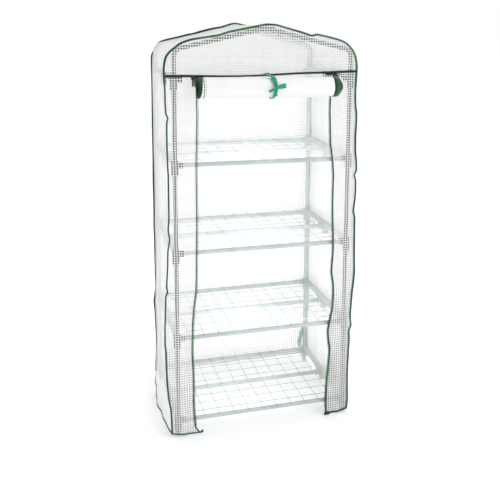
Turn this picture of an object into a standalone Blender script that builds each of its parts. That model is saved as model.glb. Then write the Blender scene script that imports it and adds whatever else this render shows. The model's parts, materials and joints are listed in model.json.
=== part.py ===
"""Four-tier pop-up mini greenhouse: push-fit tube frame, four wire shelves and a
zip-front film cover with its door rolled up under the header seam.

Metres. +X is to the right seen from the front, +Y to the rear, +Z up.
Origin: on the floor, in the middle of the whole outline seen from above, with
the rolled door counted in. Shapes are laid out about the middle of the four
posts, with heights counted from FRAME_DOWN below the floor, and moved back by
FRAME_BACK and down by FRAME_DOWN as a whole at the end.
"""

import math

import bmesh
import bpy
from mathutils import Vector

# ---------------------------------------------------------------- frame dimensions
FRAME_BACK = 0.0526       # the middle of the posts lies this far behind the origin
FRAME_DOWN = 0.0200       # height of the feet's lower ends in the heights used below
POST_X = 0.325            # post centres, half width
POST_Y = 0.233            # post centres, half depth
TIER_1_Z = 0.075          # centre height of the lowest rails
TIER_PITCH = 0.3215       # between shelf tiers
EAVE_Z = 1.339            # centre height of the eave side bars
TIER_Z = [TIER_1_Z + TIER_PITCH * k for k in range(4)]

TUBE_R = 0.008            # 16 mm tube
TUBE_WALL = 0.0005
TUBE_SIDES = 12
FOOT_BASE = 0.002         # thickness of the closed lower end of a foot
GAP = 0.0003              # play between a tube and its socket

BORE_SIDES = 8
BORE_R = (TUBE_R + GAP) / math.cos(math.pi / BORE_SIDES)   # flats clear the tube by GAP
MOULDED_SIDES = 12        # sides of moulded sleeves, sockets and arms
OVERSHOOT = 0.01          # how far a cutter runs out past the face it opens

SIDES = (("left", -1), ("right", 1))                       # name, sign of X
ENDS = (("front", -1), ("rear", 1))                        # name, sign of Y
CORNERS = (("fl", -1, -1), ("fr", 1, -1), ("rl", -1, 1), ("rr", 1, 1))   # signs of X, Y

# ---------------------------------------------------------------- looks
PAINT = dict(color=(0.16, 0.27, 0.23), roughness=0.4)
MOULDED = dict(color=(0.22, 0.31, 0.28), roughness=0.55)
WIRE = dict(color=(0.55, 0.62, 0.59), roughness=0.4)
FILM = dict(color=(0.86, 0.88, 0.87), roughness=0.3, alpha=0.45)
DOOR = dict(color=(0.90, 0.92, 0.91), roughness=0.35)
RIBBON = dict(color=(0.02, 0.33, 0.22), roughness=0.6)
BLACK = dict(color=(0.02, 0.03, 0.025), roughness=0.5)

SHARP_ANGLE = math.radians(40)       # edges steeper than this stay sharp when smoothed
MERGE_DISTANCE = 1e-6
FLAT_ANGLE = math.radians(0.5)       # faces closer to flat than this are merged

# ---------------------------------------------------------------- scene
for old in list(bpy.data.objects):
    bpy.data.objects.remove(old, do_unlink=True)
scene = bpy.context.scene
scene.unit_settings.system = "METRIC"
scene.unit_settings.scale_length = 1.0


def material(name, color, roughness, alpha=1.0):
    mat = bpy.data.materials.new(name)
    mat.use_nodes = True
    bsdf = mat.node_tree.nodes["Principled BSDF"]
    bsdf.inputs["Base Color"].default_value = (*color, 1.0)
    bsdf.inputs["Roughness"].default_value = roughness
    bsdf.inputs["Alpha"].default_value = alpha
    mat.diffuse_color = (*color, alpha)
    return mat


def new_object(name, bm, look, origin, smooth=False):
    """Turns a bmesh into a named object with its own material."""
    bmesh.ops.remove_doubles(bm, verts=bm.verts, dist=MERGE_DISTANCE)
    bmesh.ops.recalc_face_normals(bm, faces=bm.faces)
    bmesh.ops.translate(bm, verts=bm.verts, vec=-Vector(origin))
    mesh = bpy.data.meshes.new(name)
    bm.to_mesh(mesh)
    bm.free()
    obj = bpy.data.objects.new(name, mesh)
    scene.collection.objects.link(obj)
    obj.location = origin
    mesh.materials.append(material(name + "_mat", **look))
    if smooth:
        for polygon in mesh.polygons:
            polygon.use_smooth = True
        mesh.set_sharp_from_angle(angle=SHARP_ANGLE)


# ---------------------------------------------------------------- basic shapes
def bridge(bm, low, high):
    """Joins two closed rings of vertices with a band of quads."""
    count = len(low)
    for k in range(count):
        n = (k + 1) % count
        bm.faces.new((low[k], low[n], high[n], high[k]))


def capped(low_points, high_points):
    """A closed solid between two matching rings of points."""
    bm = bmesh.new()
    low = [bm.verts.new(p) for p in low_points]
    high = [bm.verts.new(p) for p in high_points]
    bridge(bm, low, high)
    bm.faces.new(low)
    bm.faces.new(high)
    bmesh.ops.recalc_face_normals(bm, faces=bm.faces)
    return bm


def prism(outline, axis, low, high):
    """A 2-D outline swept along one axis (0, 1 or 2) from low to high."""

    def place(point, along):
        position = list(point)
        position.insert(axis, along)
        return position

    return capped([place(p, low) for p in outline], [place(p, high) for p in outline])


def ellipse(centre, radii, sides):
    """Outline with a flat, not a corner, across the first axis."""
    angles = [2 * math.pi * (k + 0.5) / sides for k in range(sides)]
    return [
        (centre[0] + radii[0] * math.cos(a), centre[1] + radii[1] * math.sin(a))
        for a in angles
    ]


def circle(centre, radius, sides):
    return ellipse(centre, (radius, radius), sides)


def ring(centre, tangent, side, radius, sides):
    """Points round a centre, square to the tangent; side is a fixed cross direction."""
    u = side.normalized()
    v = tangent.normalized().cross(u).normalized()
    return [
        centre
        + u * (radius * math.cos(2 * math.pi * (k + 0.5) / sides))
        + v * (radius * math.sin(2 * math.pi * (k + 0.5) / sides))
        for k in range(sides)
    ]


def shoulder_arc(half_width, ridge_z, slope, bend_r, steps, inset=0.0):
    """(x, z) points round the right shoulder, from the upright side to the roof slope."""
    turn = math.pi / 2 - math.atan(slope)
    corner_z = ridge_z - slope * half_width
    centre_x = half_width - bend_r
    centre_z = corner_z - bend_r * math.tan(turn / 2)
    radius = bend_r - inset
    angles = [turn * k / steps for k in range(steps + 1)]
    return [(centre_x + radius * math.cos(a), centre_z + radius * math.sin(a)) for a in angles]


def helper(bm):
    mesh = bpy.data.meshes.new("helper")
    bm.to_mesh(mesh)
    bm.free()
    obj = bpy.data.objects.new("helper", mesh)
    scene.collection.objects.link(obj)
    obj.hide_render = True
    obj.display_type = "WIRE"
    return obj


def combine(start, adds, cuts):
    """Unions and differences, solved exactly, as one new bmesh."""
    base = helper(start)
    tools = []
    for operation, pieces in (("UNION", adds), ("DIFFERENCE", cuts)):
        for piece in pieces:
            tool = helper(piece)
            tools.append(tool)
            modifier = base.modifiers.new("join", "BOOLEAN")
            modifier.operation = operation
            modifier.solver = "EXACT"
            modifier.object = tool
    bpy.context.view_layer.update()
    evaluated = base.evaluated_get(bpy.context.evaluated_depsgraph_get())
    result = bmesh.new()
    result.from_mesh(evaluated.to_mesh())
    evaluated.to_mesh_clear()
    for obj in [base, *tools]:
        bpy.data.objects.remove(obj, do_unlink=True)
    bmesh.ops.remove_doubles(result, verts=result.verts, dist=MERGE_DISTANCE)
    bmesh.ops.dissolve_limit(
        result, angle_limit=FLAT_ANGLE, verts=result.verts, edges=result.edges
    )
    return result


def tube(name, points, side, closed_start=False):
    """A hollow painted tube along a path. closed_start caps the first end flat."""
    points = [Vector(p) for p in points]
    side = Vector(side)
    bm = bmesh.new()
    outer, inner = [], []
    for k, point in enumerate(points):
        tangent = points[min(k + 1, len(points) - 1)] - points[max(k - 1, 0)]
        lift = FOOT_BASE if closed_start and k == 0 else 0.0
        inner_point = point + tangent.normalized() * lift
        outer_ring = ring(point, tangent, side, TUBE_R, TUBE_SIDES)
        inner_ring = ring(inner_point, tangent, side, TUBE_R - TUBE_WALL, TUBE_SIDES)
        outer.append([bm.verts.new(p) for p in outer_ring])
        inner.append([bm.verts.new(p) for p in inner_ring])
    for low, high in zip(outer, outer[1:]):
        bridge(bm, low, high)
    for low, high in zip(inner, inner[1:]):
        bridge(bm, low[::-1], high[::-1])
    bridge(bm, outer[-1], inner[-1])
    if closed_start:
        bm.faces.new(outer[0][::-1])
        bm.faces.new(inner[0])
    else:
        bridge(bm, outer[0], inner[0])
    new_object(name, bm, PAINT, points[0], smooth=True)


# ---------------------------------------------------------------- side bars
# Heights are from the rail centre. A bar has a sleeve at each post, three rail
# sockets on its inner face and an arched web between.
SLEEVE_R = 0.0125         # vertical post sleeves
SOCKET_R = 0.0115         # rail sockets
SOCKET_OUT = 0.027        # socket mouth, inwards from the post centre
SOCKET_BOTTOM = 0.0105    # bottom of the socket bore, inwards from the post centre
SOCKET_ROOT = 0.002       # socket cylinder starts here, inwards from the post centre
BAR_TOP = 0.016           # top of the sleeves
BAR_BOTTOM = -0.035       # bottom of the sleeves
UP_BORE = -0.006          # bottom of the upper blind bore
DOWN_BORE = -0.012        # top of the lower blind bore

BAR_HALF_T = 0.0085       # half thickness of the web across X
WEB_TOP = BAR_TOP - 0.0006
ARCH_SPRING = -0.020      # ends of the arched underside
ARCH_CROWN = 0.001        # crown of the arched underside
ARCH_POWER = 0.6          # below 1 squares off the shoulders of the arch
ARCH_END = 0.0110         # arch ends, from the post centre or the middle of the bar
ARCH_STEPS = 5
LEG_Z = BAR_BOTTOM + 0.004   # underside of the short leg at mid depth
LEG_HALF = ARCH_END - 0.001

BAR_SKIN = 0.0035         # wall left round the pockets in the web's outer face
POCKET_INSET = 0.002      # further room at each end of a pocket
POCKET_STEPS = 6


def arch_z(t):
    """Height of the arched underside at a fraction t of its span."""
    rise = math.sin(math.pi * t) ** ARCH_POWER if 0 < t < 1 else 0.0
    return ARCH_SPRING + (ARCH_CROWN - ARCH_SPRING) * rise


def arch(y0, y1):
    fractions = [k / ARCH_STEPS for k in range(ARCH_STEPS + 1)]
    return [(y0 + (y1 - y0) * t, arch_z(t)) for t in fractions]


def web_outline():
    return [
        (-POST_Y, WEB_TOP),
        (-POST_Y, ARCH_SPRING),
        *arch(-POST_Y + ARCH_END, -ARCH_END),
        (-LEG_HALF, LEG_Z),
        (LEG_HALF, LEG_Z),
        *arch(ARCH_END, POST_Y - ARCH_END),
        (POST_Y, ARCH_SPRING),
        (POST_Y, WEB_TOP),
    ]


def pocket_outline(y0, y1):
    """One bay of the web from y0 to y1, drawn in by the skin."""
    start, end = y0 + BAR_SKIN + POCKET_INSET, y1 - BAR_SKIN - POCKET_INSET
    points = [(start, BAR_TOP - BAR_SKIN)]
    for k in range(POCKET_STEPS + 1):
        y = start + (end - start) * k / POCKET_STEPS
        points.append((y, arch_z((y - y0) / (y1 - y0)) + BAR_SKIN))
    points.append((end, BAR_TOP - BAR_SKIN))
    return points


def side_bar():
    """The right-hand moulding, about the centre of its post line."""
    adds, cuts = [], []
    for y in (-POST_Y, POST_Y):
        bore = circle((0, y), BORE_R, BORE_SIDES)
        adds.append(prism(circle((0, y), SLEEVE_R, MOULDED_SIDES), 2, BAR_BOTTOM, BAR_TOP))
        cuts.append(prism(bore, 2, UP_BORE, BAR_TOP + OVERSHOOT))
        cuts.append(prism(bore, 2, BAR_BOTTOM - OVERSHOOT, DOWN_BORE))
    for y in (-POST_Y, 0.0, POST_Y):
        socket = circle((y, 0), SOCKET_R, MOULDED_SIDES)
        bore = circle((y, 0), BORE_R, BORE_SIDES)
        adds.append(prism(socket, 0, -SOCKET_OUT, -SOCKET_ROOT))
        cuts.append(prism(bore, 0, -SOCKET_OUT - OVERSHOOT, -SOCKET_BOTTOM))
    for y0, y1 in ((-POST_Y + SLEEVE_R, -SOCKET_R), (SOCKET_R, POST_Y - SLEEVE_R)):
        pocket = pocket_outline(y0, y1)
        cuts.append(prism(pocket, 0, -BAR_HALF_T + BAR_SKIN, BAR_HALF_T + OVERSHOOT))
    return combine(prism(web_outline(), 0, -BAR_HALF_T, BAR_HALF_T), adds, cuts)


def place_bar(name, shape, sign, z):
    """A copy of the moulding on one side, mirrored for the left."""
    bm = bmesh.new()
    bm.from_mesh(shape)
    for vert in bm.verts:
        vert.co.x = sign * vert.co.x
    if sign < 0:
        bmesh.ops.reverse_faces(bm, faces=bm.faces)
    place = (sign * POST_X, 0, z)
    bmesh.ops.translate(bm, verts=bm.verts, vec=place)
    new_object(name, bm, MOULDED, place, smooth=True)


def side_bars():
    shape = bpy.data.meshes.new("bar_shape")
    moulding = side_bar()
    moulding.to_mesh(shape)
    moulding.free()
    for level, z in [*enumerate(TIER_Z, 1), ("eave", EAVE_Z)]:
        for side_name, sign in SIDES:
            place_bar(f"bracket_{level}_{side_name}", shape, sign, z)
    bpy.data.meshes.remove(shape)


# ---------------------------------------------------------------- posts, feet, rails
RAIL_END = POST_X - SOCKET_BOTTOM - GAP


def feet_and_posts():
    levels = [*TIER_Z, EAVE_Z]
    for corner, x_sign, y_sign in CORNERS:
        x, y = x_sign * POST_X, y_sign * POST_Y
        foot_top = levels[0] + DOWN_BORE - GAP
        foot = [(x, y, FRAME_DOWN), (x, y, foot_top)]
        tube(f"foot_{corner}", foot, (1, 0, 0), closed_start=True)
        for k, (lower, upper) in enumerate(zip(levels, levels[1:]), 1):
            post = [(x, y, lower + UP_BORE + GAP), (x, y, upper + DOWN_BORE - GAP)]
            tube(f"post_{k}_{corner}", post, (1, 0, 0))


def rails():
    for tier, z in enumerate(TIER_Z, 1):
        for row, y in (("front", -POST_Y), ("mid", 0.0), ("rear", POST_Y)):
            tube(f"rail_{tier}_{row}", [(-RAIL_END, y, z), (RAIL_END, y, z)], (0, 1, 0))


# ---------------------------------------------------------------- roof frame
ROOF_Z = 1.5165           # roof tube centre line at the ridge
ROOF_SLOPE = 0.235        # rise over run of the roof tubes
ROOF_ANGLE = math.atan(ROOF_SLOPE)
ROOF_BEND_R = 0.032
ROOF_BEND_STEPS = 5

# Ridge fitting: distances along its arms from the point where their centre lines meet.
APEX_R = 0.0110
APEX_ARM = 0.034          # arm mouths
SLOPE_ARM_START = -0.003
RIDGE_ARM_START = -0.0085
SLOPE_BORE_END = 0.010    # bottoms of the blind bores
RIDGE_BORE_END = SLOPE_BORE_END + 0.003
RIDGE_END = POST_Y - RIDGE_BORE_END - GAP


def roof_tube(corner, x_sign, y_sign):
    """Up from the eave sleeve, round the shoulder, up the slope to the ridge fitting."""
    reach = SLOPE_BORE_END + GAP
    path = [
        (POST_X, EAVE_Z + UP_BORE + GAP),
        *shoulder_arc(POST_X, ROOF_Z, ROOF_SLOPE, ROOF_BEND_R, ROOF_BEND_STEPS),
        (reach * math.cos(ROOF_ANGLE), ROOF_Z - reach * math.sin(ROOF_ANGLE)),
    ]
    points = [(x_sign * x, y_sign * POST_Y, z) for x, z in path]
    tube(f"roof_tube_{corner}", points, (0, 1, 0))


def arm(direction, radius, start, end, sides):
    """A straight cylinder along a direction from the ridge point."""
    direction = Vector(direction).normalized()
    side = Vector((0, 1, 0)) if abs(direction.y) < 0.5 else Vector((1, 0, 0))
    return capped(
        ring(direction * start, direction, side, radius, sides),
        ring(direction * end, direction, side, radius, sides),
    )


def apex_connector(end_name, y_sign):
    """Three bored arms: down both slopes and inwards along the ridge."""
    run, drop = math.cos(ROOF_ANGLE), math.sin(ROOF_ANGLE)
    arms = (
        ((-run, 0, -drop), SLOPE_ARM_START, SLOPE_BORE_END),
        ((run, 0, -drop), SLOPE_ARM_START, SLOPE_BORE_END),
        ((0, -y_sign, 0), RIDGE_ARM_START, RIDGE_BORE_END),
    )
    solids = [arm(way, APEX_R, start, APEX_ARM, MOULDED_SIDES) for way, start, _ in arms]
    bores = [arm(way, BORE_R, end, APEX_ARM + OVERSHOOT, BORE_SIDES) for way, _, end in arms]
    fitting = combine(solids[0], solids[1:], bores)
    place = Vector((0, y_sign * POST_Y, ROOF_Z))
    bmesh.ops.translate(fitting, verts=fitting.verts, vec=place)
    new_object(f"apex_connector_{end_name}", fitting, MOULDED, place, smooth=True)


# ---------------------------------------------------------------- wire shelves
WIRE_W = 0.0026
WIRE_T = 0.0028
WIRE_X_COUNT = 11         # wires that run front to back
WIRE_X_PITCH = 0.0563
WIRE_Y_COUNT = 8          # wires that run side to side
WIRE_Y_PITCH = 0.0580
WIRE_X_END = 0.2915       # half width of the mat
WIRE_Y_END = 0.2405       # half depth of the mat


def wire_edges(count, pitch, end):
    """Grid lines across a set of wires: mat edge, both edges of each wire, mat edge."""
    centres = [(k - (count - 1) / 2) * pitch for k in range(count)]
    half = WIRE_W / 2
    return [-end, *(v for c in centres for v in (c - half, c + half)), end]


def lattice(z0, z1):
    """A welded wire mat as one flat lattice: both sets of wires share their height."""
    grid_x = wire_edges(WIRE_X_COUNT, WIRE_X_PITCH, WIRE_X_END)
    grid_y = wire_edges(WIRE_Y_COUNT, WIRE_Y_PITCH, WIRE_Y_END)
    columns, rows = len(grid_x) - 1, len(grid_y) - 1
    bm = bmesh.new()
    verts = {}

    def filled(i, j):
        """Odd columns and odd rows of the grid are wire."""
        return 0 <= i < columns and 0 <= j < rows and (i % 2 == 1 or j % 2 == 1)

    def vert(i, j, level):
        key = (i, j, level)
        if key not in verts:
            verts[key] = bm.verts.new((grid_x[i], grid_y[j], z1 if level else z0))
        return verts[key]

    for i in range(columns):
        for j in range(rows):
            if not filled(i, j):
                continue
            corners = [(i, j), (i + 1, j), (i + 1, j + 1), (i, j + 1)]
            neighbours = [(i, j - 1), (i + 1, j), (i, j + 1), (i - 1, j)]
            for level in (0, 1):
                face = [vert(*c, level) for c in corners]
                bm.faces.new(face if level else face[::-1])
            for k, neighbour in enumerate(neighbours):
                if not filled(*neighbour):
                    a, b = corners[k], corners[(k + 1) % 4]
                    bm.faces.new((vert(*a, 0), vert(*b, 0), vert(*b, 1), vert(*a, 1)))
    return bm


def shelves():
    for tier, z in enumerate(TIER_Z, 1):
        low = z + TUBE_R + GAP
        new_object(f"shelf_{tier}", lattice(low, low + WIRE_T), WIRE, (0, 0, low))


# ---------------------------------------------------------------- cover
FILM_T = 0.0004
COVER_X = 0.350           # outer face of the side film
COVER_Y = 0.2505          # outer face of the front and back film
COVER_HEM_Z = 0.027
BACK_HEM_Z = 0.048        # the back hangs shorter than the sides and front
COVER_RIDGE_Z = 1.5315
COVER_SLOPE = 0.2233
COVER_SHOULDER_R = 0.065
COVER_SHOULDER_STEPS = 6
PANEL_GAP = 0.0005        # between the wrap and the front and back film
DOOR_X = 0.258            # doorway, half width
DOOR_TOP_Z = 1.352


def cover_profile(inset=0.0, hem=COVER_HEM_Z):
    """Side, shoulder, slope, ridge, slope, shoulder, side, from the left hem round."""
    half = [
        (COVER_X - inset, hem),
        *shoulder_arc(
            COVER_X, COVER_RIDGE_Z, COVER_SLOPE, COVER_SHOULDER_R, COVER_SHOULDER_STEPS, inset
        ),
    ]
    ridge = (0.0, COVER_RIDGE_Z - inset / math.cos(math.atan(COVER_SLOPE)))
    return [(-x, z) for x, z in half] + [ridge] + half[::-1]


def cover_wrap():
    """Sides and roof in one band."""
    outline = cover_profile() + cover_profile(FILM_T)[::-1]
    end = COVER_Y - FILM_T - PANEL_GAP
    new_object("cover_wrap", prism(outline, 1, -end, end), FILM, (0, 0, COVER_HEM_Z), smooth=True)


def cover_back():
    panel = prism(cover_profile(hem=BACK_HEM_Z), 1, COVER_Y - FILM_T, COVER_Y)
    new_object("cover_back", panel, FILM, (0, COVER_Y, BACK_HEM_Z))


def cover_front():
    doorway = [
        (DOOR_X, COVER_HEM_Z),
        (DOOR_X, DOOR_TOP_Z),
        (-DOOR_X, DOOR_TOP_Z),
        (-DOOR_X, COVER_HEM_Z),
    ]
    panel = prism(cover_profile() + doorway, 1, -COVER_Y, -COVER_Y + FILM_T)
    new_object("cover_front", panel, FILM, (0, -COVER_Y, COVER_HEM_Z))


# ---------------------------------------------------------------- rolled door
ROLL_Y = -0.3040
ROLL_Z = 1.3155
ROLL_RY = 0.0370
ROLL_RZ = 0.0385
ROLL_X0 = -0.2530
ROLL_X1 = 0.2610
ROLL_WALL = 0.0020
ROLL_SIDES = 32

NECK_X = 0.242            # half width of the strip from the header to the roll
HEADER = (-COVER_Y, DOOR_TOP_Z)            # (y, z) of the doorway's top edge
ROLL_REAR = (ROLL_Y + ROLL_RY, ROLL_Z)     # (y, z) of the rearmost line of the roll
# Section of the neck: reference point, then y and z offsets from it.
NECK = (
    (HEADER, -0.0008, 0.0032),
    (HEADER, -0.0008, -0.0040),
    (ROLL_REAR, -0.0012, 0.0030),
    (ROLL_REAR, -0.0024, 0.0045),
    (HEADER, -0.0020, -0.0036),
    (HEADER, -0.0020, 0.0032),
)


def roll_section(inset=0.0):
    return ellipse((ROLL_Y, ROLL_Z), (ROLL_RY - inset, ROLL_RZ - inset), ROLL_SIDES)


def door_roll():
    """A hollow roll hung from the header by a thin neck."""
    roll = prism(roll_section(), 0, ROLL_X0, ROLL_X1)
    neck = prism([(y + dy, z + dz) for (y, z), dy, dz in NECK], 0, -NECK_X, NECK_X)
    hollow = prism(roll_section(ROLL_WALL), 0, ROLL_X0 - OVERSHOOT, ROLL_X1 + OVERSHOOT)
    shape = combine(roll, [neck], [hollow])
    new_object("door_roll", shape, DOOR, (0, ROLL_Y, ROLL_Z), smooth=True)


# ---------------------------------------------------------------- tie ribbon
TIE_AXIS = Vector((-0.008, -0.2580, 1.3640))   # centre of the bead on the seam
TIE_W = 0.016
TIE_T = 0.0010
TIE_CLEAR = 0.0050        # between the roll and the strap
STRAP_START = 84          # degrees round the roll, up from the rear
STRAP_END = 186
STRAP_STEPS = 8
BEAD_R = 0.0016
BEAD_SIDES = 12
BEAD_OVERHANG = 0.001     # past each edge of the strap

KNOT_Y = ROLL_Y - ROLL_RY - TIE_CLEAR - 0.0045
KNOT_Z = ROLL_Z - 0.0045
KNOT_R = 0.0055
KNOT_SIDES = 10
KNOT_HALF_W = 0.006
TAILS = ((0.026, 0.009), (-0.012, -0.022), (0.010, -0.030))   # x, z of each end from the knot
TAIL_W = 0.011
TAIL_TAPER = 0.7          # width at the knot over width at the end
TAIL_FRONT = 0.0012       # tail faces, in front of and behind the knot's centre
TAIL_REAR = 0.0006


def ribbon_line(offset):
    """From the bead on the seam, over the top of the roll and down its front."""
    radius_y = ROLL_RY + TIE_CLEAR + offset
    radius_z = ROLL_RZ + TIE_CLEAR + offset
    points = [(TIE_AXIS.y, TIE_AXIS.z + offset - TIE_T / 2)]
    for k in range(STRAP_STEPS + 1):
        a = math.radians(STRAP_START + (STRAP_END - STRAP_START) * k / STRAP_STEPS)
        points.append((ROLL_Y + radius_y * math.cos(a), ROLL_Z + radius_z * math.sin(a)))
    return points


def tail(dx, dz):
    """A flat tail from the knot, in the plane just in front of the roll."""
    start = Vector((TIE_AXIS.x, KNOT_Z))
    end = start + Vector((dx, dz))
    along = end - start
    across = Vector((-along.y, along.x)).normalized() * TAIL_W / 2
    narrow = across * TAIL_TAPER
    outline = [start - narrow, end - across, end + across, start + narrow]
    return prism(outline, 1, KNOT_Y - TAIL_FRONT, KNOT_Y + TAIL_REAR)


def tie_ribbon():
    x, y, z = TIE_AXIS
    x0, x1 = x - TIE_W / 2, x + TIE_W / 2
    strap = prism(ribbon_line(0.0) + ribbon_line(TIE_T)[::-1], 0, x0, x1)
    bead = prism(circle((y, z), BEAD_R, BEAD_SIDES), 0, x0 - BEAD_OVERHANG, x1 + BEAD_OVERHANG)
    knot_section = circle((KNOT_Y, KNOT_Z), KNOT_R, KNOT_SIDES)
    knot = prism(knot_section, 0, x - KNOT_HALF_W, x + KNOT_HALF_W)
    tails = [tail(dx, dz) for dx, dz in TAILS]
    new_object("tie_ribbon", combine(strap, [bead, knot, *tails], []), RIBBON, TIE_AXIS)


# ---------------------------------------------------------------- zip sliders
ZIP_X = 0.2640
ZIP_Z = 1.3460
ZIP_FACE_Y = -COVER_Y - 0.0010     # rear face of a slider, just in front of the film
# Each piece: front and rear faces, forward of ZIP_FACE_Y, then (x, z) outline
# points from the slider's centre.
ZIP_BODY = (0.0048, 0.0, (
    (-0.0055, -0.0070), (0.0055, -0.0070), (0.0070, 0.0020),
    (0.0050, 0.0070), (-0.0050, 0.0070), (-0.0070, 0.0020),
))
ZIP_BRIDGE = (0.0094, 0.0040, (
    (-0.0022, -0.0040), (0.0022, -0.0040), (0.0022, 0.0045), (-0.0022, 0.0045),
))
ZIP_PULL = (0.0100, 0.0078, (
    (-0.0042, -0.0300), (0.0042, -0.0300), (0.0034, 0.0010), (-0.0034, 0.0010),
))


def zip_slider(side_name, sign):
    """A slider by a top corner of the doorway, with its pull hanging in front of it."""
    x = sign * ZIP_X
    body, *others = [
        prism([(x + dx, ZIP_Z + dz) for dx, dz in outline], 1, ZIP_FACE_Y - front, ZIP_FACE_Y - rear)
        for front, rear, outline in (ZIP_BODY, ZIP_BRIDGE, ZIP_PULL)
    ]
    shape = combine(body, others, [])
    new_object(f"zip_slider_{side_name}", shape, BLACK, (x, ZIP_FACE_Y, ZIP_Z))


# ---------------------------------------------------------------- build
side_bars()
feet_and_posts()
rails()
for corner_signs in CORNERS:
    roof_tube(*corner_signs)
for end_sign in ENDS:
    apex_connector(*end_sign)
tube("ridge_tube", [(0, -RIDGE_END, ROOF_Z), (0, RIDGE_END, ROOF_Z)], (1, 0, 0))
shelves()
cover_wrap()
cover_back()
cover_front()
door_roll()
tie_ribbon()
for side_sign in SIDES:
    zip_slider(*side_sign)

for part in scene.objects:
    part.location.y += FRAME_BACK
    part.location.z -= FRAME_DOWN
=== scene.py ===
"""Looks of the four-tier mini greenhouse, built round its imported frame.

Shapes are laid out about the middle of the four posts (y = 0 there), with the
lowest rails at z = 0.075, and moved to the row frame by MID_Y and LIFT when
each mesh is made. Metres, +Z up.
"""

import json
import math

import bmesh
import bpy
import numpy as np
from mathutils import Matrix, Vector


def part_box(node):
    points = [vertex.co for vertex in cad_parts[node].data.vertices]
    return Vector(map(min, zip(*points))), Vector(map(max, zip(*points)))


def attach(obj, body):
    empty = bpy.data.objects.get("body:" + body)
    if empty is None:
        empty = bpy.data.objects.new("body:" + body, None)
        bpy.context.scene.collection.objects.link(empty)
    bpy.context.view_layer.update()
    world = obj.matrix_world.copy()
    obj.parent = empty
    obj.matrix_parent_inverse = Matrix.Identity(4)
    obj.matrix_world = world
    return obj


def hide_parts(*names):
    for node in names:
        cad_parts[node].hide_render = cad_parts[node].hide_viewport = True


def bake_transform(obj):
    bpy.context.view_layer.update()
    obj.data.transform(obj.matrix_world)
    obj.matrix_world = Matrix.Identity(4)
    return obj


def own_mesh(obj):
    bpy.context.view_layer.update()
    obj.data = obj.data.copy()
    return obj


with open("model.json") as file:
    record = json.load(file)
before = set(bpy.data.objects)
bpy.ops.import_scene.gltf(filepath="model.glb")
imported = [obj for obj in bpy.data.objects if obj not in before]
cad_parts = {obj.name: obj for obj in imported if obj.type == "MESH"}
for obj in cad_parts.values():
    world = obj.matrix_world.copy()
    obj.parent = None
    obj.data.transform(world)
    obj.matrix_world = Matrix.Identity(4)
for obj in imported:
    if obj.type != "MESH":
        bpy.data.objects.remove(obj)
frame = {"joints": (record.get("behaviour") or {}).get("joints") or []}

scene = bpy.context.scene
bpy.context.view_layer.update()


# ------------------------------------------------------------------ frame sizes
def raw_centre(node):
    low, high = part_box(node)
    return (low + high) / 2


MID_Y = (raw_centre("foot_fl").y + raw_centre("foot_rl").y) / 2
LIFT = raw_centre("rail_1_front").z - 0.075
ORIGIN = np.array([0.0, MID_Y, LIFT])


def box(node):
    low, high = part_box(node)
    return Vector(np.array(low) - ORIGIN), Vector(np.array(high) - ORIGIN)


def centre(node):
    low, high = box(node)
    return (low + high) / 2


POST_X = centre("foot_fr").x
POST_Y = centre("foot_rl").y
FLOOR_Z = box("foot_fr")[0].z
TUBE_R, TUBE_WALL = 0.008, 0.0005
TIERS = [centre(f"rail_{k}_front").z for k in (1, 2, 3, 4)]

_low, _high = box("cover_wrap")
SIDE_X, RIDGE_Z, HEM_Z = _high.x, _high.z, _low.z
BACK_HEM_Z = box("cover_back")[0].z
FRONT_Y = box("cover_front")[0].y
BACK_Y = box("cover_back")[1].y
_low, _high = box("bracket_1_right")
BAR_TOP, BAR_FOOT = _high.z - TIERS[0], _low.z - TIERS[0]
EAVE_Z = box("bracket_eave_left")[1].z - BAR_TOP

_low, _high = box("door_roll")
ROLL_X0, ROLL_X1 = _low.x, _high.x
ROLL_RZ, ROLL_RY = 0.0385, 0.0370
ROLL_Y = _low.y + ROLL_RY
ROLL_Z = _low.z + ROLL_RZ
SEAM_Z = 1.352
_low, _high = box("tie_ribbon")
TIE_X = (_low.x + _high.x) / 2
TIE_AXIS = next(j for j in frame["joints"] if j["name"] == "tie_hang")["pos_m"]
TIE_Y, TIE_Z = TIE_AXIS[1] - MID_Y, TIE_AXIS[2] - LIFT

TAU = 2 * math.pi


# ------------------------------------------------------------------ mesh helpers
def smoothed(values, radius, passes=3):
    """A row of numbers after a few passes of a box blur, ends kept."""
    out = np.asarray(values, float).copy()
    for _ in range(passes):
        pad = np.pad(out, radius, mode="edge")
        kernel = np.ones(2 * radius + 1) / (2 * radius + 1)
        out = np.convolve(pad, kernel, mode="valid")
    return out


def keyed(at, keys, blur=2, passes=3):
    """Piecewise-linear keys read at many places and rounded off a little."""
    keys = sorted(keys)
    return smoothed(np.interp(at, [k[0] for k in keys], [k[1] for k in keys]), blur, passes)


def ease(t):
    t = np.clip(t, 0.0, 1.0)
    return t * t * (3 - 2 * t)


def grid_faces(rows, columns, closed=False, start=0, flip=False):
    faces = []
    last = columns if closed else columns - 1
    for i in range(rows - 1):
        for j in range(last):
            n = (j + 1) % columns
            a, b = start + i * columns + j, start + i * columns + n
            c, d = a + columns, b + columns
            faces.append((a, c, d, b) if flip else (a, b, d, c))
    return faces


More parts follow.
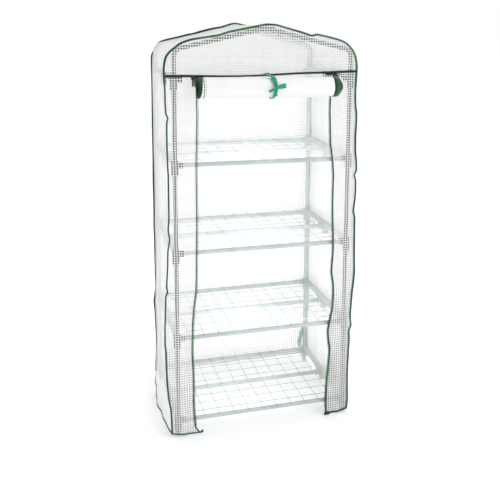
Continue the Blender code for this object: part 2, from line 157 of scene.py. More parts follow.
def make(name, verts, faces, materials, body, slot, uv=None, smooth=True, sharp=None,
         stands_for=(), which=None, rides=True):
    """One named piece of the object, riding on a body."""
    verts = np.array(verts, float) + ORIGIN
    mesh = bpy.data.meshes.new(name)
    mesh.from_pydata(verts.tolist(), [], [tuple(int(i) for i in f) for f in faces])
    mesh.validate()
    for m in materials if isinstance(materials, (list, tuple)) else [materials]:
        mesh.materials.append(m)
    if uv is not None:
        layer = mesh.uv_layers.new(name="map")
        index = np.empty(len(mesh.loops), np.int64)
        mesh.loops.foreach_get("vertex_index", index)
        layer.data.foreach_set("uv", np.asarray(uv, np.float32)[index].ravel())
    if which is not None:
        mesh.polygons.foreach_set("material_index", np.asarray(which, np.int32))
    if smooth:
        mesh.polygons.foreach_set("use_smooth", np.ones(len(mesh.polygons), bool))
        if sharp:
            mesh.set_sharp_from_angle(angle=math.radians(sharp))
    mesh.update()
    obj = bpy.data.objects.new(name, mesh)
    scene.collection.objects.link(obj)
    if rides:
        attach(obj, body)
    if stands_for:
        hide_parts(*stands_for)
    return obj


class Shape:
    """Collects vertices, faces, uv and material numbers of several parts of one piece."""

    def __init__(self):
        self.verts, self.faces, self.uv, self.which = [], [], [], []

    def add(self, verts, faces, uv=None, which=0):
        start = sum(len(v) for v in self.verts)
        verts = np.asarray(verts, float)
        self.verts.append(verts)
        self.uv.append(np.zeros((len(verts), 2)) if uv is None else np.asarray(uv, float))
        self.faces += [tuple(i + start for i in f) for f in faces]
        self.which += [which] * len(faces)
        return self

    def made(self, name, materials, body, slot, **options):
        return make(name, np.concatenate(self.verts), self.faces, materials, body, slot,
                    uv=np.concatenate(self.uv), which=self.which, **options)


def frames_along(path, ref):
    path = np.asarray(path, float)
    tangent = np.gradient(path, axis=0)
    tangent /= np.linalg.norm(tangent, axis=1)[:, None] + 1e-12
    ref = np.broadcast_to(np.asarray(ref, float), path.shape)
    side = ref - (ref * tangent).sum(1)[:, None] * tangent
    side /= np.linalg.norm(side, axis=1)[:, None] + 1e-12
    return path, side, np.cross(tangent, side)


def swept(path, section, ref, size=None):
    """A closed section swept along a path: (verts, faces, uv). Caps are fans."""
    path, side, other = frames_along(path, ref)
    section = np.asarray(section, float)
    size = np.ones(len(path)) if size is None else np.asarray(size, float)
    rings = (path[:, None, :]
             + (section[None, :, :1] * size[:, None, None]) * side[:, None, :]
             + (section[None, :, 1:] * size[:, None, None]) * other[:, None, :])
    n, m = len(path), len(section)
    length = np.concatenate([[0], np.cumsum(np.linalg.norm(np.diff(path, axis=0), axis=1))])
    round_ = np.linalg.norm(np.diff(section, axis=0, append=section[:1]), axis=1)
    around = np.concatenate([[0], np.cumsum(round_)[:-1]])
    uv = np.stack(np.meshgrid(length, around, indexing="ij"), -1).reshape(-1, 2)
    verts = rings.reshape(-1, 3)
    faces = grid_faces(n, m, closed=True)
    for ring, back in ((0, False), (n - 1, True)):
        middle = len(verts)
        verts = np.vstack([verts, rings[ring].mean(0)[None]])
        uv = np.vstack([uv, [[length[ring], 0]]])
        for k in range(m):
            a, b = ring * m + k, ring * m + (k + 1) % m
            faces.append((middle, a, b) if back else (middle, b, a))
    return verts, faces, uv


def oval(a, b, sides=10, power=1.0, turn=0.5):
    out = []
    for k in range(sides):
        t = TAU * (k + turn) / sides
        c, s = math.cos(t), math.sin(t)
        out.append((a * math.copysign(abs(c) ** power, c), b * math.copysign(abs(s) ** power, s)))
    return out


def hollow(path, ref, radius, wall, sides=24, lip=0.0004):
    """A round tube with an open bore and softened rims."""
    path = np.asarray(path, float)
    p, side, other = frames_along(path, ref)
    angle = TAU * np.arange(sides) / sides
    ring = np.cos(angle)[None, :, None] * side[:, None, :] + np.sin(angle)[None, :, None] * other[:, None, :]
    first = (p[1] - p[0]) / np.linalg.norm(p[1] - p[0])
    last = (p[-1] - p[-2]) / np.linalg.norm(p[-1] - p[-2])
    rows = [p[0] + ring[0] * (radius - lip)]
    rows.append(p[0] + first * lip + ring[0] * radius)
    for k in range(1, len(p) - 1):
        rows.append(p[k] + ring[k] * radius)
    rows.append(p[-1] - last * lip + ring[-1] * radius)
    rows.append(p[-1] + ring[-1] * (radius - lip))
    for k in range(len(p) - 1, -1, -1):
        rows.append(p[k] + ring[k] * (radius - wall))
    count = len(rows)
    verts = np.concatenate(rows)
    faces = grid_faces(count, sides, closed=True)
    for j in range(sides):
        n = (j + 1) % sides
        faces.append(((count - 1) * sides + j, (count - 1) * sides + n, n, j))
    step = np.linalg.norm(np.diff(np.stack([r.mean(0) for r in rows]), axis=0), axis=1)
    run = np.concatenate([[0], np.cumsum(step)])
    uv = np.stack(np.meshgrid(run, angle * radius, indexing="ij"), -1).reshape(-1, 2)
    return verts, faces, uv


def turned(profile, sides=28):
    """A profile of (radius, height) turned about +Z; closed when it starts and ends at radius 0."""
    rings = []
    for r, z in profile:
        rings.append([(r * math.cos(TAU * k / sides), r * math.sin(TAU * k / sides), z) for k in range(sides)])
    verts = np.array(rings, float).reshape(-1, 3)
    faces = grid_faces(len(profile), sides, closed=True)
    uv = np.array([(z, r * k / sides) for r, z in profile for k in range(sides)], float)
    return verts, faces, uv


# ------------------------------------------------------------------ node helpers
class Tree:
    """A material's node tree with short calls for the nodes used here."""

    def __init__(self, name):
        self.mat = bpy.data.materials.new(name)
        self.mat.use_nodes = True
        self.nt = self.mat.node_tree
        self.bsdf = self.nt.nodes["Principled BSDF"]
        self.out = self.nt.nodes["Material Output"]
        self.coord = self.nt.nodes.new("ShaderNodeTexCoord")

    def put(self, socket, value):
        if isinstance(value, bpy.types.NodeSocket):
            self.nt.links.new(value, socket)
        elif hasattr(socket.default_value, "__len__"):
            value = tuple(value)
            size = len(socket.default_value)
            socket.default_value = value + (1.0,) * (size - len(value))
        else:
            socket.default_value = value
        return self

    def math(self, kind, a, b=None, c=None, clamp=False):
        node = self.nt.nodes.new("ShaderNodeMath")
        node.operation = kind
        node.use_clamp = clamp
        for k, v in enumerate((a, b, c)):
            if v is not None:
                self.put(node.inputs[k], v)
        return node.outputs[0]

    def parts(self, vector):
        node = self.nt.nodes.new("ShaderNodeSeparateXYZ")
        self.put(node.inputs[0], vector)
        return node.outputs

    def joined(self, x, y, z):
        node = self.nt.nodes.new("ShaderNodeCombineXYZ")
        for k, v in enumerate((x, y, z)):
            self.put(node.inputs[k], v)
        return node.outputs[0]

    def scaled(self, vector, by):
        node = self.nt.nodes.new("ShaderNodeVectorMath")
        node.operation = "MULTIPLY"
        self.put(node.inputs[0], vector)
        node.inputs[1].default_value = by
        return node.outputs[0]

    def noise(self, vector, scale, detail=2.0, rough=0.5):
        node = self.nt.nodes.new("ShaderNodeTexNoise")
        self.put(node.inputs["Vector"], vector)
        node.inputs["Scale"].default_value = scale
        node.inputs["Detail"].default_value = detail
        node.inputs["Roughness"].default_value = rough
        return node.outputs["Fac"]

    def ramp(self, value, low, high, to_low=0.0, to_high=1.0, kind="SMOOTHSTEP"):
        node = self.nt.nodes.new("ShaderNodeMapRange")
        node.interpolation_type = kind
        node.clamp = True
        for k, v in (("Value", value), ("From Min", low), ("From Max", high), ("To Min", to_low), ("To Max", to_high)):
            self.put(node.inputs[k], v)
        return node.outputs["Result"]

    def mix(self, share, a, b):
        node = self.nt.nodes.new("ShaderNodeMix")
        node.data_type = "RGBA"
        self.put(node.inputs[0], share)
        self.put(node.inputs[6], a)
        self.put(node.inputs[7], b)
        return node.outputs[2]

    def bump(self, height, strength=0.3, distance=0.001, onto=None):
        node = self.nt.nodes.new("ShaderNodeBump")
        node.inputs["Strength"].default_value = strength
        node.inputs["Distance"].default_value = distance
        self.put(node.inputs["Height"], height)
        if onto is not None:
            self.nt.links.new(onto, node.inputs["Normal"])
        return node.outputs["Normal"]

    def set(self, **values):
        names = {"color": "Base Color", "rough": "Roughness", "metal": "Metallic", "alpha": "Alpha",
                 "normal": "Normal", "ior": "IOR", "coat": "Coat Weight", "coat_rough": "Coat Roughness",
                 "sheen": "Sheen Weight", "sheen_rough": "Sheen Roughness", "spec": "Specular IOR Level"}
        for key, value in values.items():
            self.put(self.bsdf.inputs[names[key]], value)
        return self


def srgb(r, g, b):
    def lin(c):
        c /= 255
        return c / 12.92 if c <= 0.04045 else ((c + 0.055) / 1.055) ** 2.4
    return (lin(r), lin(g), lin(b))


# ------------------------------------------------------------------ materials
def paint(name, colour, dark, rough=0.38, coat=0.12, spec=0.5):
    """Powder coat on tube: orange peel, drifting tone, slight dulling."""
    t = Tree(name)
    at = t.coord.outputs["Object"]
    drift = t.noise(at, 7.0, 3.0, 0.6)
    speck = t.noise(at, 420.0, 1.0)
    share = t.ramp(drift, 0.35, 0.7)
    tone = t.mix(share, colour, dark)
    tone = t.mix(t.ramp(speck, 0.60, 0.78, 0.0, 0.25), tone, tuple(min(1.0, c * 1.35 + 0.01) for c in colour))
    peel = t.noise(at, 900.0, 2.0, 0.6)
    t.set(color=tone, rough=t.ramp(drift, 0.3, 0.75, rough - 0.06, rough + 0.12), coat=coat, coat_rough=0.25, spec=spec,
          normal=t.bump(peel, 0.10, 0.0004))
    return t.mat


def moulded(name, colour, dark, rough=0.5):
    """Injection-moulded plastic: fine grain, flow marks."""
    t = Tree(name)
    at = t.coord.outputs["Object"]
    flow = t.noise(t.scaled(at, (1.0, 0.35, 2.2)), 16.0, 4.0, 0.6)
    tone = t.mix(t.ramp(flow, 0.32, 0.72), colour, dark)
    grain = t.noise(at, 1300.0, 2.0, 0.7)
    blotch = t.noise(at, 60.0, 2.0)
    t.set(color=tone, rough=t.ramp(blotch, 0.3, 0.7, rough - 0.07, rough + 0.10), spec=0.4,
          normal=t.bump(t.math("ADD", grain, t.math("MULTIPLY", flow, 0.8)), 0.14, 0.0005))
    return t.mat


NET_PITCH = 0.0090


def film(name, hole_alpha=0.022, thread_alpha=0.95, tint=(0.75, 0.765, 0.76), thread=(0.90, 0.905, 0.90),
         where="UV", thread_share=0.36, grazing=0.34, band=None, rough=0.30, shade=None, sway=0.010):
    """Clear film with a white scrim laid in it. Threads are opaque, squares between them let sight through.

    shade is (z at its strongest, z where it ends, weight there, weight at its strongest): how far the
    squares are darkened, and the threads greyed a little, more towards the bottom and in patches."""
    t = Tree(name)
    at = t.coord.outputs[where]
    x, y, z = t.parts(at)
    a, b = (x, y) if where == "UV" else (x, z)
    where_3d = t.coord.outputs["Object"]
    drift = t.math("MULTIPLY", t.math("SUBTRACT", t.noise(where_3d, 5.0, 1.0), 0.5), sway)

    def lines(c):
        cell = t.math("FRACT", t.math("DIVIDE", t.math("ADD", c, drift), NET_PITCH))
        away = t.math("ABSOLUTE", t.math("SUBTRACT", cell, 0.5))
        edge = 0.5 - thread_share / 2
        return t.ramp(away, edge - 0.04, edge + 0.04)

    net = t.math("MAXIMUM", lines(a), lines(b))
    cloud = t.noise(where_3d, 9.0, 3.0, 0.6)
    haze = t.ramp(cloud, 0.30, 0.75)
    clear = t.mix(haze, tint, tuple(min(1.0, c * 1.06) for c in tint))
    weave = t.noise(where_3d, 700.0, 1.0)
    yarn = t.mix(t.ramp(weave, 0.3, 0.7, 0.0, 0.35), thread, tuple(c * 0.88 for c in thread))
    hole_cover = t.math("ADD", hole_alpha, t.math("MULTIPLY", haze, 0.025))
    if shade is not None:
        z_full, z_end, weak, strong = shade
        _, _, z3 = t.parts(where_3d)
        patch = t.ramp(t.noise(where_3d, 14.0, 2.0, 0.5), 0.25, 0.75, 0.70, 1.0)
        # darker towards the bottom of the panel, in patches
        darkening = t.math("MULTIPLY", t.ramp(z3, z_full, z_end, strong, weak), patch)
        clear = t.mix(darkening, clear, (0.08, 0.08, 0.08))
        yarn = t.mix(t.math("MULTIPLY", darkening, 0.24), yarn, (0.30, 0.30, 0.30))
        hole_cover = t.math("MAXIMUM", hole_cover, darkening)
    colour = t.mix(net, clear, yarn)
    if band is not None:  # the dark tape of the layer below shows through the squares here
        low, high, ink = band
        inside = t.math("MULTIPLY", t.ramp(x, low - 0.001, low + 0.001), t.ramp(x, high - 0.001, high + 0.001, 1.0, 0.0))
        hole = t.math("MULTIPLY", inside, t.math("SUBTRACT", 1.0, net))
        colour = t.mix(hole, colour, ink)
    seen = t.math("ADD", hole_cover, t.math("MULTIPLY", net, t.math("SUBTRACT", thread_alpha, hole_cover)))
    if grazing:
        layer = t.nt.nodes.new("ShaderNodeLayerWeight")
        layer.inputs["Blend"].default_value = 0.5
        tilt = t.math("POWER", layer.outputs["Facing"], 1.6)
        through = t.math("MULTIPLY", t.math("SUBTRACT", 1.0, seen), t.math("SUBTRACT", 1.0, t.math("MULTIPLY", tilt, grazing)))
        seen = t.math("SUBTRACT", 1.0, through, clamp=True)
    crumple = t.noise(t.scaled(where_3d, (1.0, 1.0, 0.45)), 26.0, 4.0, 0.62)
    soft = t.noise(t.scaled(where_3d, (1.0, 1.0, 0.3)), 8.0, 2.0, 0.5)
    raised = t.bump(net, 0.35, 0.00025)
    wavy = t.bump(t.math("ADD", crumple, t.math("MULTIPLY", soft, 2.0)), 0.30, 0.0040, onto=raised)
    t.set(color=colour, alpha=seen, rough=t.math("ADD", rough, t.math("MULTIPLY", net, 0.22)), normal=wavy, spec=0.45)
    return t.mat


def tape(name, colour, dark, rough=0.62, stitch=True, paler=None):
    """Woven bias tape: cross ribs, a lockstitch row, light and dark drift. uv is in metres along and round it."""
    t = Tree(name)
    x, y, z = t.parts(t.coord.outputs["UV"])
    at = t.coord.outputs["Object"]
    rib = t.math("SINE", t.math("MULTIPLY", x, TAU / 0.0011))
    warp = t.math("SINE", t.math("MULTIPLY", y, TAU / 0.0013))
    weave = t.math("MULTIPLY", t.math("ADD", rib, warp), 0.25)
    drift = t.ramp(t.noise(at, 22.0, 3.0, 0.6), 0.30, 0.72)
    tone = t.mix(drift, colour, dark)
    if paler is not None:
        # random paler and darker patches along the tape
        tone = t.mix(t.ramp(t.noise(at, 6.5, 2.0, 0.6), 0.52, 0.66, 0.0, 0.70), tone, paler)
        tone = t.mix(t.ramp(t.noise(t.scaled(at, (1.0, 1.0, 1.3)), 9.5, 1.0), 0.56, 0.66, 0.0, 0.8), tone, dark)
    tone = t.mix(t.math("MULTIPLY", t.math("ADD", rib, 1.0), 0.12), tone, dark)
    height = weave
    if stitch:
        dash = t.math("FRACT", t.math("DIVIDE", x, 0.0042))
        on = t.ramp(t.math("ABSOLUTE", t.math("SUBTRACT", dash, 0.5)), 0.30, 0.38, 1.0, 0.0)
        row = t.ramp(t.math("ABSOLUTE", t.math("SUBTRACT", t.math("FRACT", t.math("DIVIDE", y, 0.0085)), 0.5)), 0.05, 0.09, 1.0, 0.0)
        seam = t.math("MULTIPLY", on, row)
        tone = t.mix(t.math("MULTIPLY", seam, 0.6), tone, tuple(min(1.0, c * 2.2 + 0.02) for c in colour))
        height = t.math("ADD", weave, t.math("MULTIPLY", seam, 1.2))
    t.set(color=tone, rough=rough, sheen=0.25, sheen_rough=0.5, spec=0.3, normal=t.bump(height, 0.5, 0.0003))
    return t.mat


def plain_plastic(name, colour, rough=0.42):
    t = Tree(name)
    at = t.coord.outputs["Object"]
    grain = t.noise(at, 1500.0, 2.0, 0.6)
    drift = t.noise(at, 90.0, 2.0)
    t.set(color=t.mix(t.ramp(drift, 0.3, 0.7), colour, tuple(c * 0.6 for c in colour)), rough=rough,
          normal=t.bump(grain, 0.12, 0.0003))
    return t.mat


def woven_ribbon(name, colour, light):
    """Satin-edged polyester ribbon: fine cross ribs, soft sheen. uv is in metres."""
    t = Tree(name)
    x, y, z = t.parts(t.coord.outputs["UV"])
    rib = t.math("SINE", t.math("MULTIPLY", x, TAU / 0.0009))
    drift = t.ramp(t.noise(t.coord.outputs["Object"], 60.0, 2.0), 0.3, 0.7)
    tone = t.mix(drift, colour, light)
    tone = t.mix(t.math("MULTIPLY", t.math("ADD", rib, 1.0), 0.10), tone, tuple(c * 0.5 for c in colour))
    t.set(color=tone, rough=0.5, sheen=0.4, sheen_rough=0.35, spec=0.35, normal=t.bump(rib, 0.35, 0.0002))
    return t.mat


# The frame's paint and mouldings come as copies of one finish: the pale copies are painted light on the rear parts, the
# rails and the ridge; the near-black copies are painted shade on the front parts.
M_PAINT_LIT = paint("tube_paint_painted_light", srgb(199, 208, 205), srgb(178, 189, 185), 0.30, 0.35)
M_PAINT_SHADED = paint("tube_paint_painted_shade", srgb(11, 20, 21), srgb(6, 12, 12), 0.50, 0.0, 0.22)
# copies a shade lighter again for the top tier, nearest the bright roof: painted light
M_PAINT_LIT_TOP = paint("tube_paint_painted_light_top", srgb(214, 221, 219), srgb(196, 205, 202), 0.30, 0.35)
M_BAR = moulded("moulding_painted_light", srgb(202, 209, 206), srgb(184, 192, 189), 0.42)
M_BAR_SHADED = moulded("moulding_painted_shade", srgb(16, 27, 27), srgb(10, 18, 18))
M_BAR_LIT_TOP = moulded("moulding_painted_light_top", srgb(219, 224, 222), srgb(203, 209, 207), 0.42)
M_WIRE_LIT_TOP = paint("shelf_wire_painted_light_top", srgb(219, 224, 222), srgb(202, 208, 206), 0.34, 0.2)
M_WIRE = paint("shelf_wire", srgb(204, 210, 208), srgb(184, 191, 188), 0.34, 0.2)
M_FILM = film("cover_film")
M_STRIP_LEFT = film("cover_film_front_left", thread_share=0.31, thread=(0.83, 0.835, 0.83), shade=(0.08, 0.66, 0.10, 0.60))
M_STRIP_RIGHT = film("cover_film_front_right", thread_share=0.31, thread=(0.79, 0.795, 0.79), shade=(0.10, 0.82, 0.18, 0.90))
M_HEADER = film("cover_film_header", thread_share=0.31, thread=(0.80, 0.805, 0.80), shade=(1.30, 1.50, 0.22, 0.32))
M_DOOR = film("door_film", where="Object", hole_alpha=0.22)
M_ROLL = film("rolled_film", hole_alpha=0.94, thread_alpha=1.0, tint=(0.81, 0.825, 0.83), thread=(0.86, 0.865, 0.86),
              grazing=0.0, band=(ROLL_X0 + 0.0125, ROLL_X0 + 0.0215, srgb(40, 58, 62)))
M_TAPE = tape("binding", srgb(38, 96, 49), srgb(18, 51, 31), paler=srgb(76, 124, 76))
M_TAPE_DARK = tape("binding_dark", srgb(17, 66, 40), srgb(8, 32, 20))
M_TAPE_SEAM = tape("binding_seam", srgb(13, 42, 27), srgb(6, 22, 14))
M_TAPE_ROLL = tape("binding_rolled", srgb(26, 96, 54), srgb(12, 54, 32))
M_TAPE_INSIDE = tape("binding_inside", srgb(230, 235, 233), srgb(210, 218, 215))
M_TAB = tape("tab", srgb(12, 30, 22), srgb(5, 12, 9), stitch=False)
M_ZIP = plain_plastic("zip_teeth", srgb(16, 34, 26))
M_SLIDER = plain_plastic("zip_slider", srgb(14, 26, 21), 0.35)
M_RIBBON = woven_ribbon("ribbon", srgb(22, 132, 104), srgb(40, 168, 134))
M_INNER = woven_ribbon("inner_tie", srgb(150, 176, 170), srgb(176, 196, 191))

# ------------------------------------------------------------------ tubes
CORNERS = {"fl": (-1, -1), "fr": (1, -1), "rl": (-1, 1), "rr": (1, 1)}


def straight(node, name, material, axis):
    low, high = (np.array(v) for v in box(node))
    middle = (low + high) / 2
    a, b = middle.copy(), middle.copy()
    a[axis], b[axis] = low[axis], high[axis]
    path = [a + (b - a) * k / 4 for k in range(5)]
    ref = (0, 0, 1) if axis != 2 else (1, 0, 0)
    shape = Shape()
    shape.add(*hollow(path, ref, TUBE_R, TUBE_WALL, 24))
    return shape, name, material, a, b


for corner, (sx, sy) in CORNERS.items():
    # front corners take the near-black copy (painted shade), rear corners the pale copy (painted light)
    look = M_PAINT_SHADED if sy < 0 else M_PAINT_LIT
    for node in [f"foot_{corner}"] + [f"post_{k}_{corner}" for k in (1, 2, 3, 4)]:
        if node == f"post_4_{corner}" and sy > 0:  # nearest the bright roof, the rear top post takes a copy a shade lighter: painted light
            look = M_PAINT_LIT_TOP
        shape, name, look_, a, b = straight(node, node + "_tube", look, 2)
        if node.startswith("foot"):  # a moulded cap closes the foot and stands on the floor
            cap = turned([(0.0, 0.0), (0.0064, 0.0), (0.0080, 0.0010), (0.0088, 0.0030), (0.0088, 0.0150),
                          (0.0084, 0.0158), (0.0081, 0.0160), (0.0081, 0.0155), (0.0, 0.0155)], 24)
            shape.add(cap[0] + np.array([a[0], a[1], a[2]]), cap[1], cap[2], which=1)
        shape.made(name, [look, M_BAR_SHADED if sy < 0 else M_BAR], "frame", "tube_paint", sharp=40, stands_for=(node,))
for tier in (1, 2, 3, 4):
    for row in ("front", "mid", "rear"):
        node = f"rail_{tier}_{row}"
        # the top tier's rear and mid rails take the lighter copy: painted light
        look = M_PAINT_LIT_TOP if tier == 4 and row != "front" else M_PAINT_LIT
        shape, name, look_, a, b = straight(node, node + "_tube", look, 0)
        shape.made(name, [look], "frame", "tube_paint", sharp=40, stands_for=(node,))
shape, name, look_, a, b = straight("ridge_tube", "ridge_tube_round", M_PAINT_LIT, 1)
shape.made(name, [M_PAINT_LIT], "frame", "tube_paint", sharp=40, stands_for=("ridge_tube",))

ROOF_SLOPE, ROOF_BEND_R = 0.235, 0.032
ROOF_Z = centre("ridge_tube").z
for corner, (sx, sy) in CORNERS.items():
    low, high = box(f"roof_tube_{corner}")
    angle = math.atan(ROOF_SLOPE)
    turn = math.pi / 2 - angle
    corner_z = ROOF_Z - ROOF_SLOPE * POST_X
    tangent = ROOF_BEND_R * math.tan(turn / 2)
    cx, cz = POST_X - ROOF_BEND_R, corner_z - tangent
    points = [(POST_X, low.z), (POST_X, (low.z + cz) / 2)]
    points += [(cx + ROOF_BEND_R * math.cos(turn * k / 12), cz + ROOF_BEND_R * math.sin(turn * k / 12)) for k in range(13)]
    end_x = abs(high.x if sx < 0 else low.x)
    start = points[-1]
    points += [(start[0] + (end_x - start[0]) * t, start[1] - (end_x - start[0]) * t * ROOF_SLOPE) for t in (0.33, 0.66, 1.0)]
    path = [(sx * px, sy * POST_Y, pz) for px, pz in points]
    # front roof tubes take the painted-shade copy, rear ones the painted-light copy
    Shape().add(*hollow(path, (0, 1, 0), TUBE_R, TUBE_WALL, 24)).made(
        f"roof_tube_{corner}_round", [M_PAINT_SHADED if sy < 0 else M_PAINT_LIT], "frame", "tube_paint", sharp=50, stands_for=(f"roof_tube_{corner}",))


# ------------------------------------------------------------------ side bars
def to_bm(verts, faces):
    bm = bmesh.new()
    made = [bm.verts.new(v) for v in verts]
    for f in faces:
        bm.faces.new([made[i] for i in f])
    bmesh.ops.recalc_face_normals(bm, faces=bm.faces)
    return bm


def temp_object(bm, name="temp"):
    mesh = bpy.data.meshes.new(name)
    bm.to_mesh(mesh)
    bm.free()
    obj = bpy.data.objects.new(name, mesh)
    scene.collection.objects.link(obj)
    return obj


def arch_line(y0, y1, steps, crown=0.001, foot=-0.020):
    out = []
    for k in range(steps + 1):
        t = k / steps
        h = math.sin(math.pi * t) ** 0.6 if 0 < t < 1 else 0.0
        out.append((y0 + (y1 - y0) * t, foot + (crown - foot) * h))
    return out


def plate(outline, x0, x1):
    """An outline of (y, z) points between two x planes, as verts and faces."""
    n = len(outline)
    verts = [(x0, y, z) for y, z in outline] + [(x1, y, z) for y, z in outline]
    faces = [tuple(range(n))[::-1], tuple(range(n, 2 * n))]
    faces += [(k, (k + 1) % n, n + (k + 1) % n, n + k) for k in range(n)]
    return verts, faces


def side_bar_mesh():
    """The right-hand bar about its post line: ribbed body with pockets outside, sleeves, rail sockets."""
    half_t, skin = 0.0085, 0.0035
    outline = [(-POST_Y, BAR_TOP - 0.0006), (-POST_Y, -0.020)]
    outline += arch_line(-POST_Y + 0.011, -0.011, 22)
    outline += [(-0.010, BAR_FOOT + 0.004), (-0.0085, BAR_FOOT + 0.0015), (0.0085, BAR_FOOT + 0.0015), (0.010, BAR_FOOT + 0.004)]
    outline += arch_line(0.011, POST_Y - 0.011, 22)
    outline += [(POST_Y, -0.020), (POST_Y, BAR_TOP - 0.0006)]
    body = temp_object(to_bm(*plate(outline, -half_t, half_t)))
    helpers = []

    def boolean(operation, bm):
        tool = temp_object(bm)
        helpers.append(tool)
        m = body.modifiers.new("b", "BOOLEAN")
        m.operation, m.solver, m.object = operation, "EXACT", tool

    for y0, y1 in ((-POST_Y + 0.0125, -0.0115), (0.0115, POST_Y - 0.0125)):
        low, high = y0 + 0.0055, y1 - 0.0055
        pocket = [(low, BAR_TOP - skin)]
        for k in range(17):
            y = low + (high - low) * k / 16
            h = -0.020 + 0.021 * math.sin(math.pi * (y - y0) / (y1 - y0)) ** 0.6
            pocket.append((y, h + skin))
        pocket.append((high, BAR_TOP - skin))
        boolean("DIFFERENCE", to_bm(*plate(pocket, -half_t + skin, half_t + 0.01)))
    # shallow panel pressed into the inner face of each bay, as mouldings have
    for y0, y1 in ((-POST_Y + 0.0125, -0.0115), (0.0115, POST_Y - 0.0125)):
        low, high = y0 + 0.010, y1 - 0.010
        panel = [(low, BAR_TOP - 0.0052)]
        for k in range(15):
            y = low + (high - low) * k / 14
            h = -0.020 + 0.021 * math.sin(math.pi * (y - y0) / (y1 - y0)) ** 0.6
            panel.append((y, min(h + 0.0052, BAR_TOP - 0.0068)))
        panel.append((high, BAR_TOP - 0.0052))
        boolean("DIFFERENCE", to_bm(*plate(panel, -half_t - 0.01, -half_t + 0.0012)))
    for y in (-POST_Y, POST_Y):
        profile = [(0.0, BAR_FOOT + 0.001), (0.0121, BAR_FOOT), (0.0129, BAR_FOOT + 0.0008), (0.0129, BAR_FOOT + 0.0042),
                   (0.0124, BAR_FOOT + 0.0050), (0.0124, BAR_TOP - 0.0050), (0.0129, BAR_TOP - 0.0042),
                   (0.0129, BAR_TOP - 0.0008), (0.0121, BAR_TOP), (0.0, BAR_TOP - 0.0005)]
        v, f, _ = turned(profile[1:-1], 28)
        f = f + [tuple(range(28))[::-1], tuple(range(len(v) - 28, len(v)))]
        boolean("UNION", to_bm(v + np.array([0, y, 0]), f))
        for z0, z1 in ((-0.006, BAR_TOP + 0.01), (BAR_FOOT - 0.01, -0.012)):
            v, f, _ = turned([(TUBE_R + 0.00035, z0), (TUBE_R + 0.00035, z1)], 28)
            f = f + [tuple(range(28))[::-1], tuple(range(28, 56))]
            boolean("DIFFERENCE", to_bm(v + np.array([0, y, 0]), f))
    lying = np.array([[0, 0, -1], [0, 1, 0], [1, 0, 0]], float)
    for y in (-POST_Y, 0.0, POST_Y):
        v, f, _ = turned([(0.0110, 0.002), (0.0110, 0.0225), (0.0117, 0.0232), (0.0117, 0.0264), (0.0111, 0.0270)], 28)
        f = f + [tuple(range(28))[::-1], tuple(range(len(v) - 28, len(v)))]
        boolean("UNION", to_bm(v @ lying.T + np.array([0, y, 0]), f))
        v, f, _ = turned([(TUBE_R + 0.00035, 0.0105), (TUBE_R + 0.00035, 0.04)], 28)
        f = f + [tuple(range(28))[::-1], tuple(range(28, 56))]
        boolean("DIFFERENCE", to_bm(v @ lying.T + np.array([0, y, 0]), f))
    bevel = body.modifiers.new("edge", "BEVEL")
    bevel.width, bevel.segments, bevel.limit_method, bevel.angle_limit = 0.0006, 2, "ANGLE", math.radians(50)
    bevel.use_clamp_overlap = True
    bpy.context.view_layer.update()
    graph = bpy.context.evaluated_depsgraph_get()
    done = bpy.data.meshes.new_from_object(body.evaluated_get(graph))
    verts = np.array([v.co for v in done.vertices])
    faces = [tuple(p.vertices) for p in done.polygons]
    for obj in [body, *helpers]:
        bpy.data.objects.remove(obj, do_unlink=True)
    bpy.data.meshes.remove(done)
    return verts, faces


BAR_VERTS, BAR_FACES = side_bar_mesh()
for level, z in list(enumerate(TIERS, 1)) + [("eave", EAVE_Z)]:
    for side_name, sign in (("left", -1), ("right", 1)):
        node = f"bracket_{level}_{side_name}"
        verts = BAR_VERTS.copy()
        verts[:, 0] = sign * (verts[:, 0] + POST_X)
        faces = BAR_FACES if sign > 0 else [f[::-1] for f in BAR_FACES]
        verts[:, 2] += z
        which = []
        # the front end of each bar, and the front half of the eave bar, takes the near-black copy (painted shade); the
        # rest takes the pale copy (painted light)
        for f in faces:
            y = np.mean([verts[i][1] for i in f])
            which.append(1 if y < -POST_Y + 0.0135 or (level == "eave" and y < 0.0) else 0)
        # bars of the top tier and the eave take the lighter copy: painted light
        make(node + "_moulding", verts, faces, [M_BAR_LIT_TOP if level in (4, "eave") else M_BAR, M_BAR_SHADED], "frame", "moulding", sharp=38,
             stands_for=(node,), which=which)

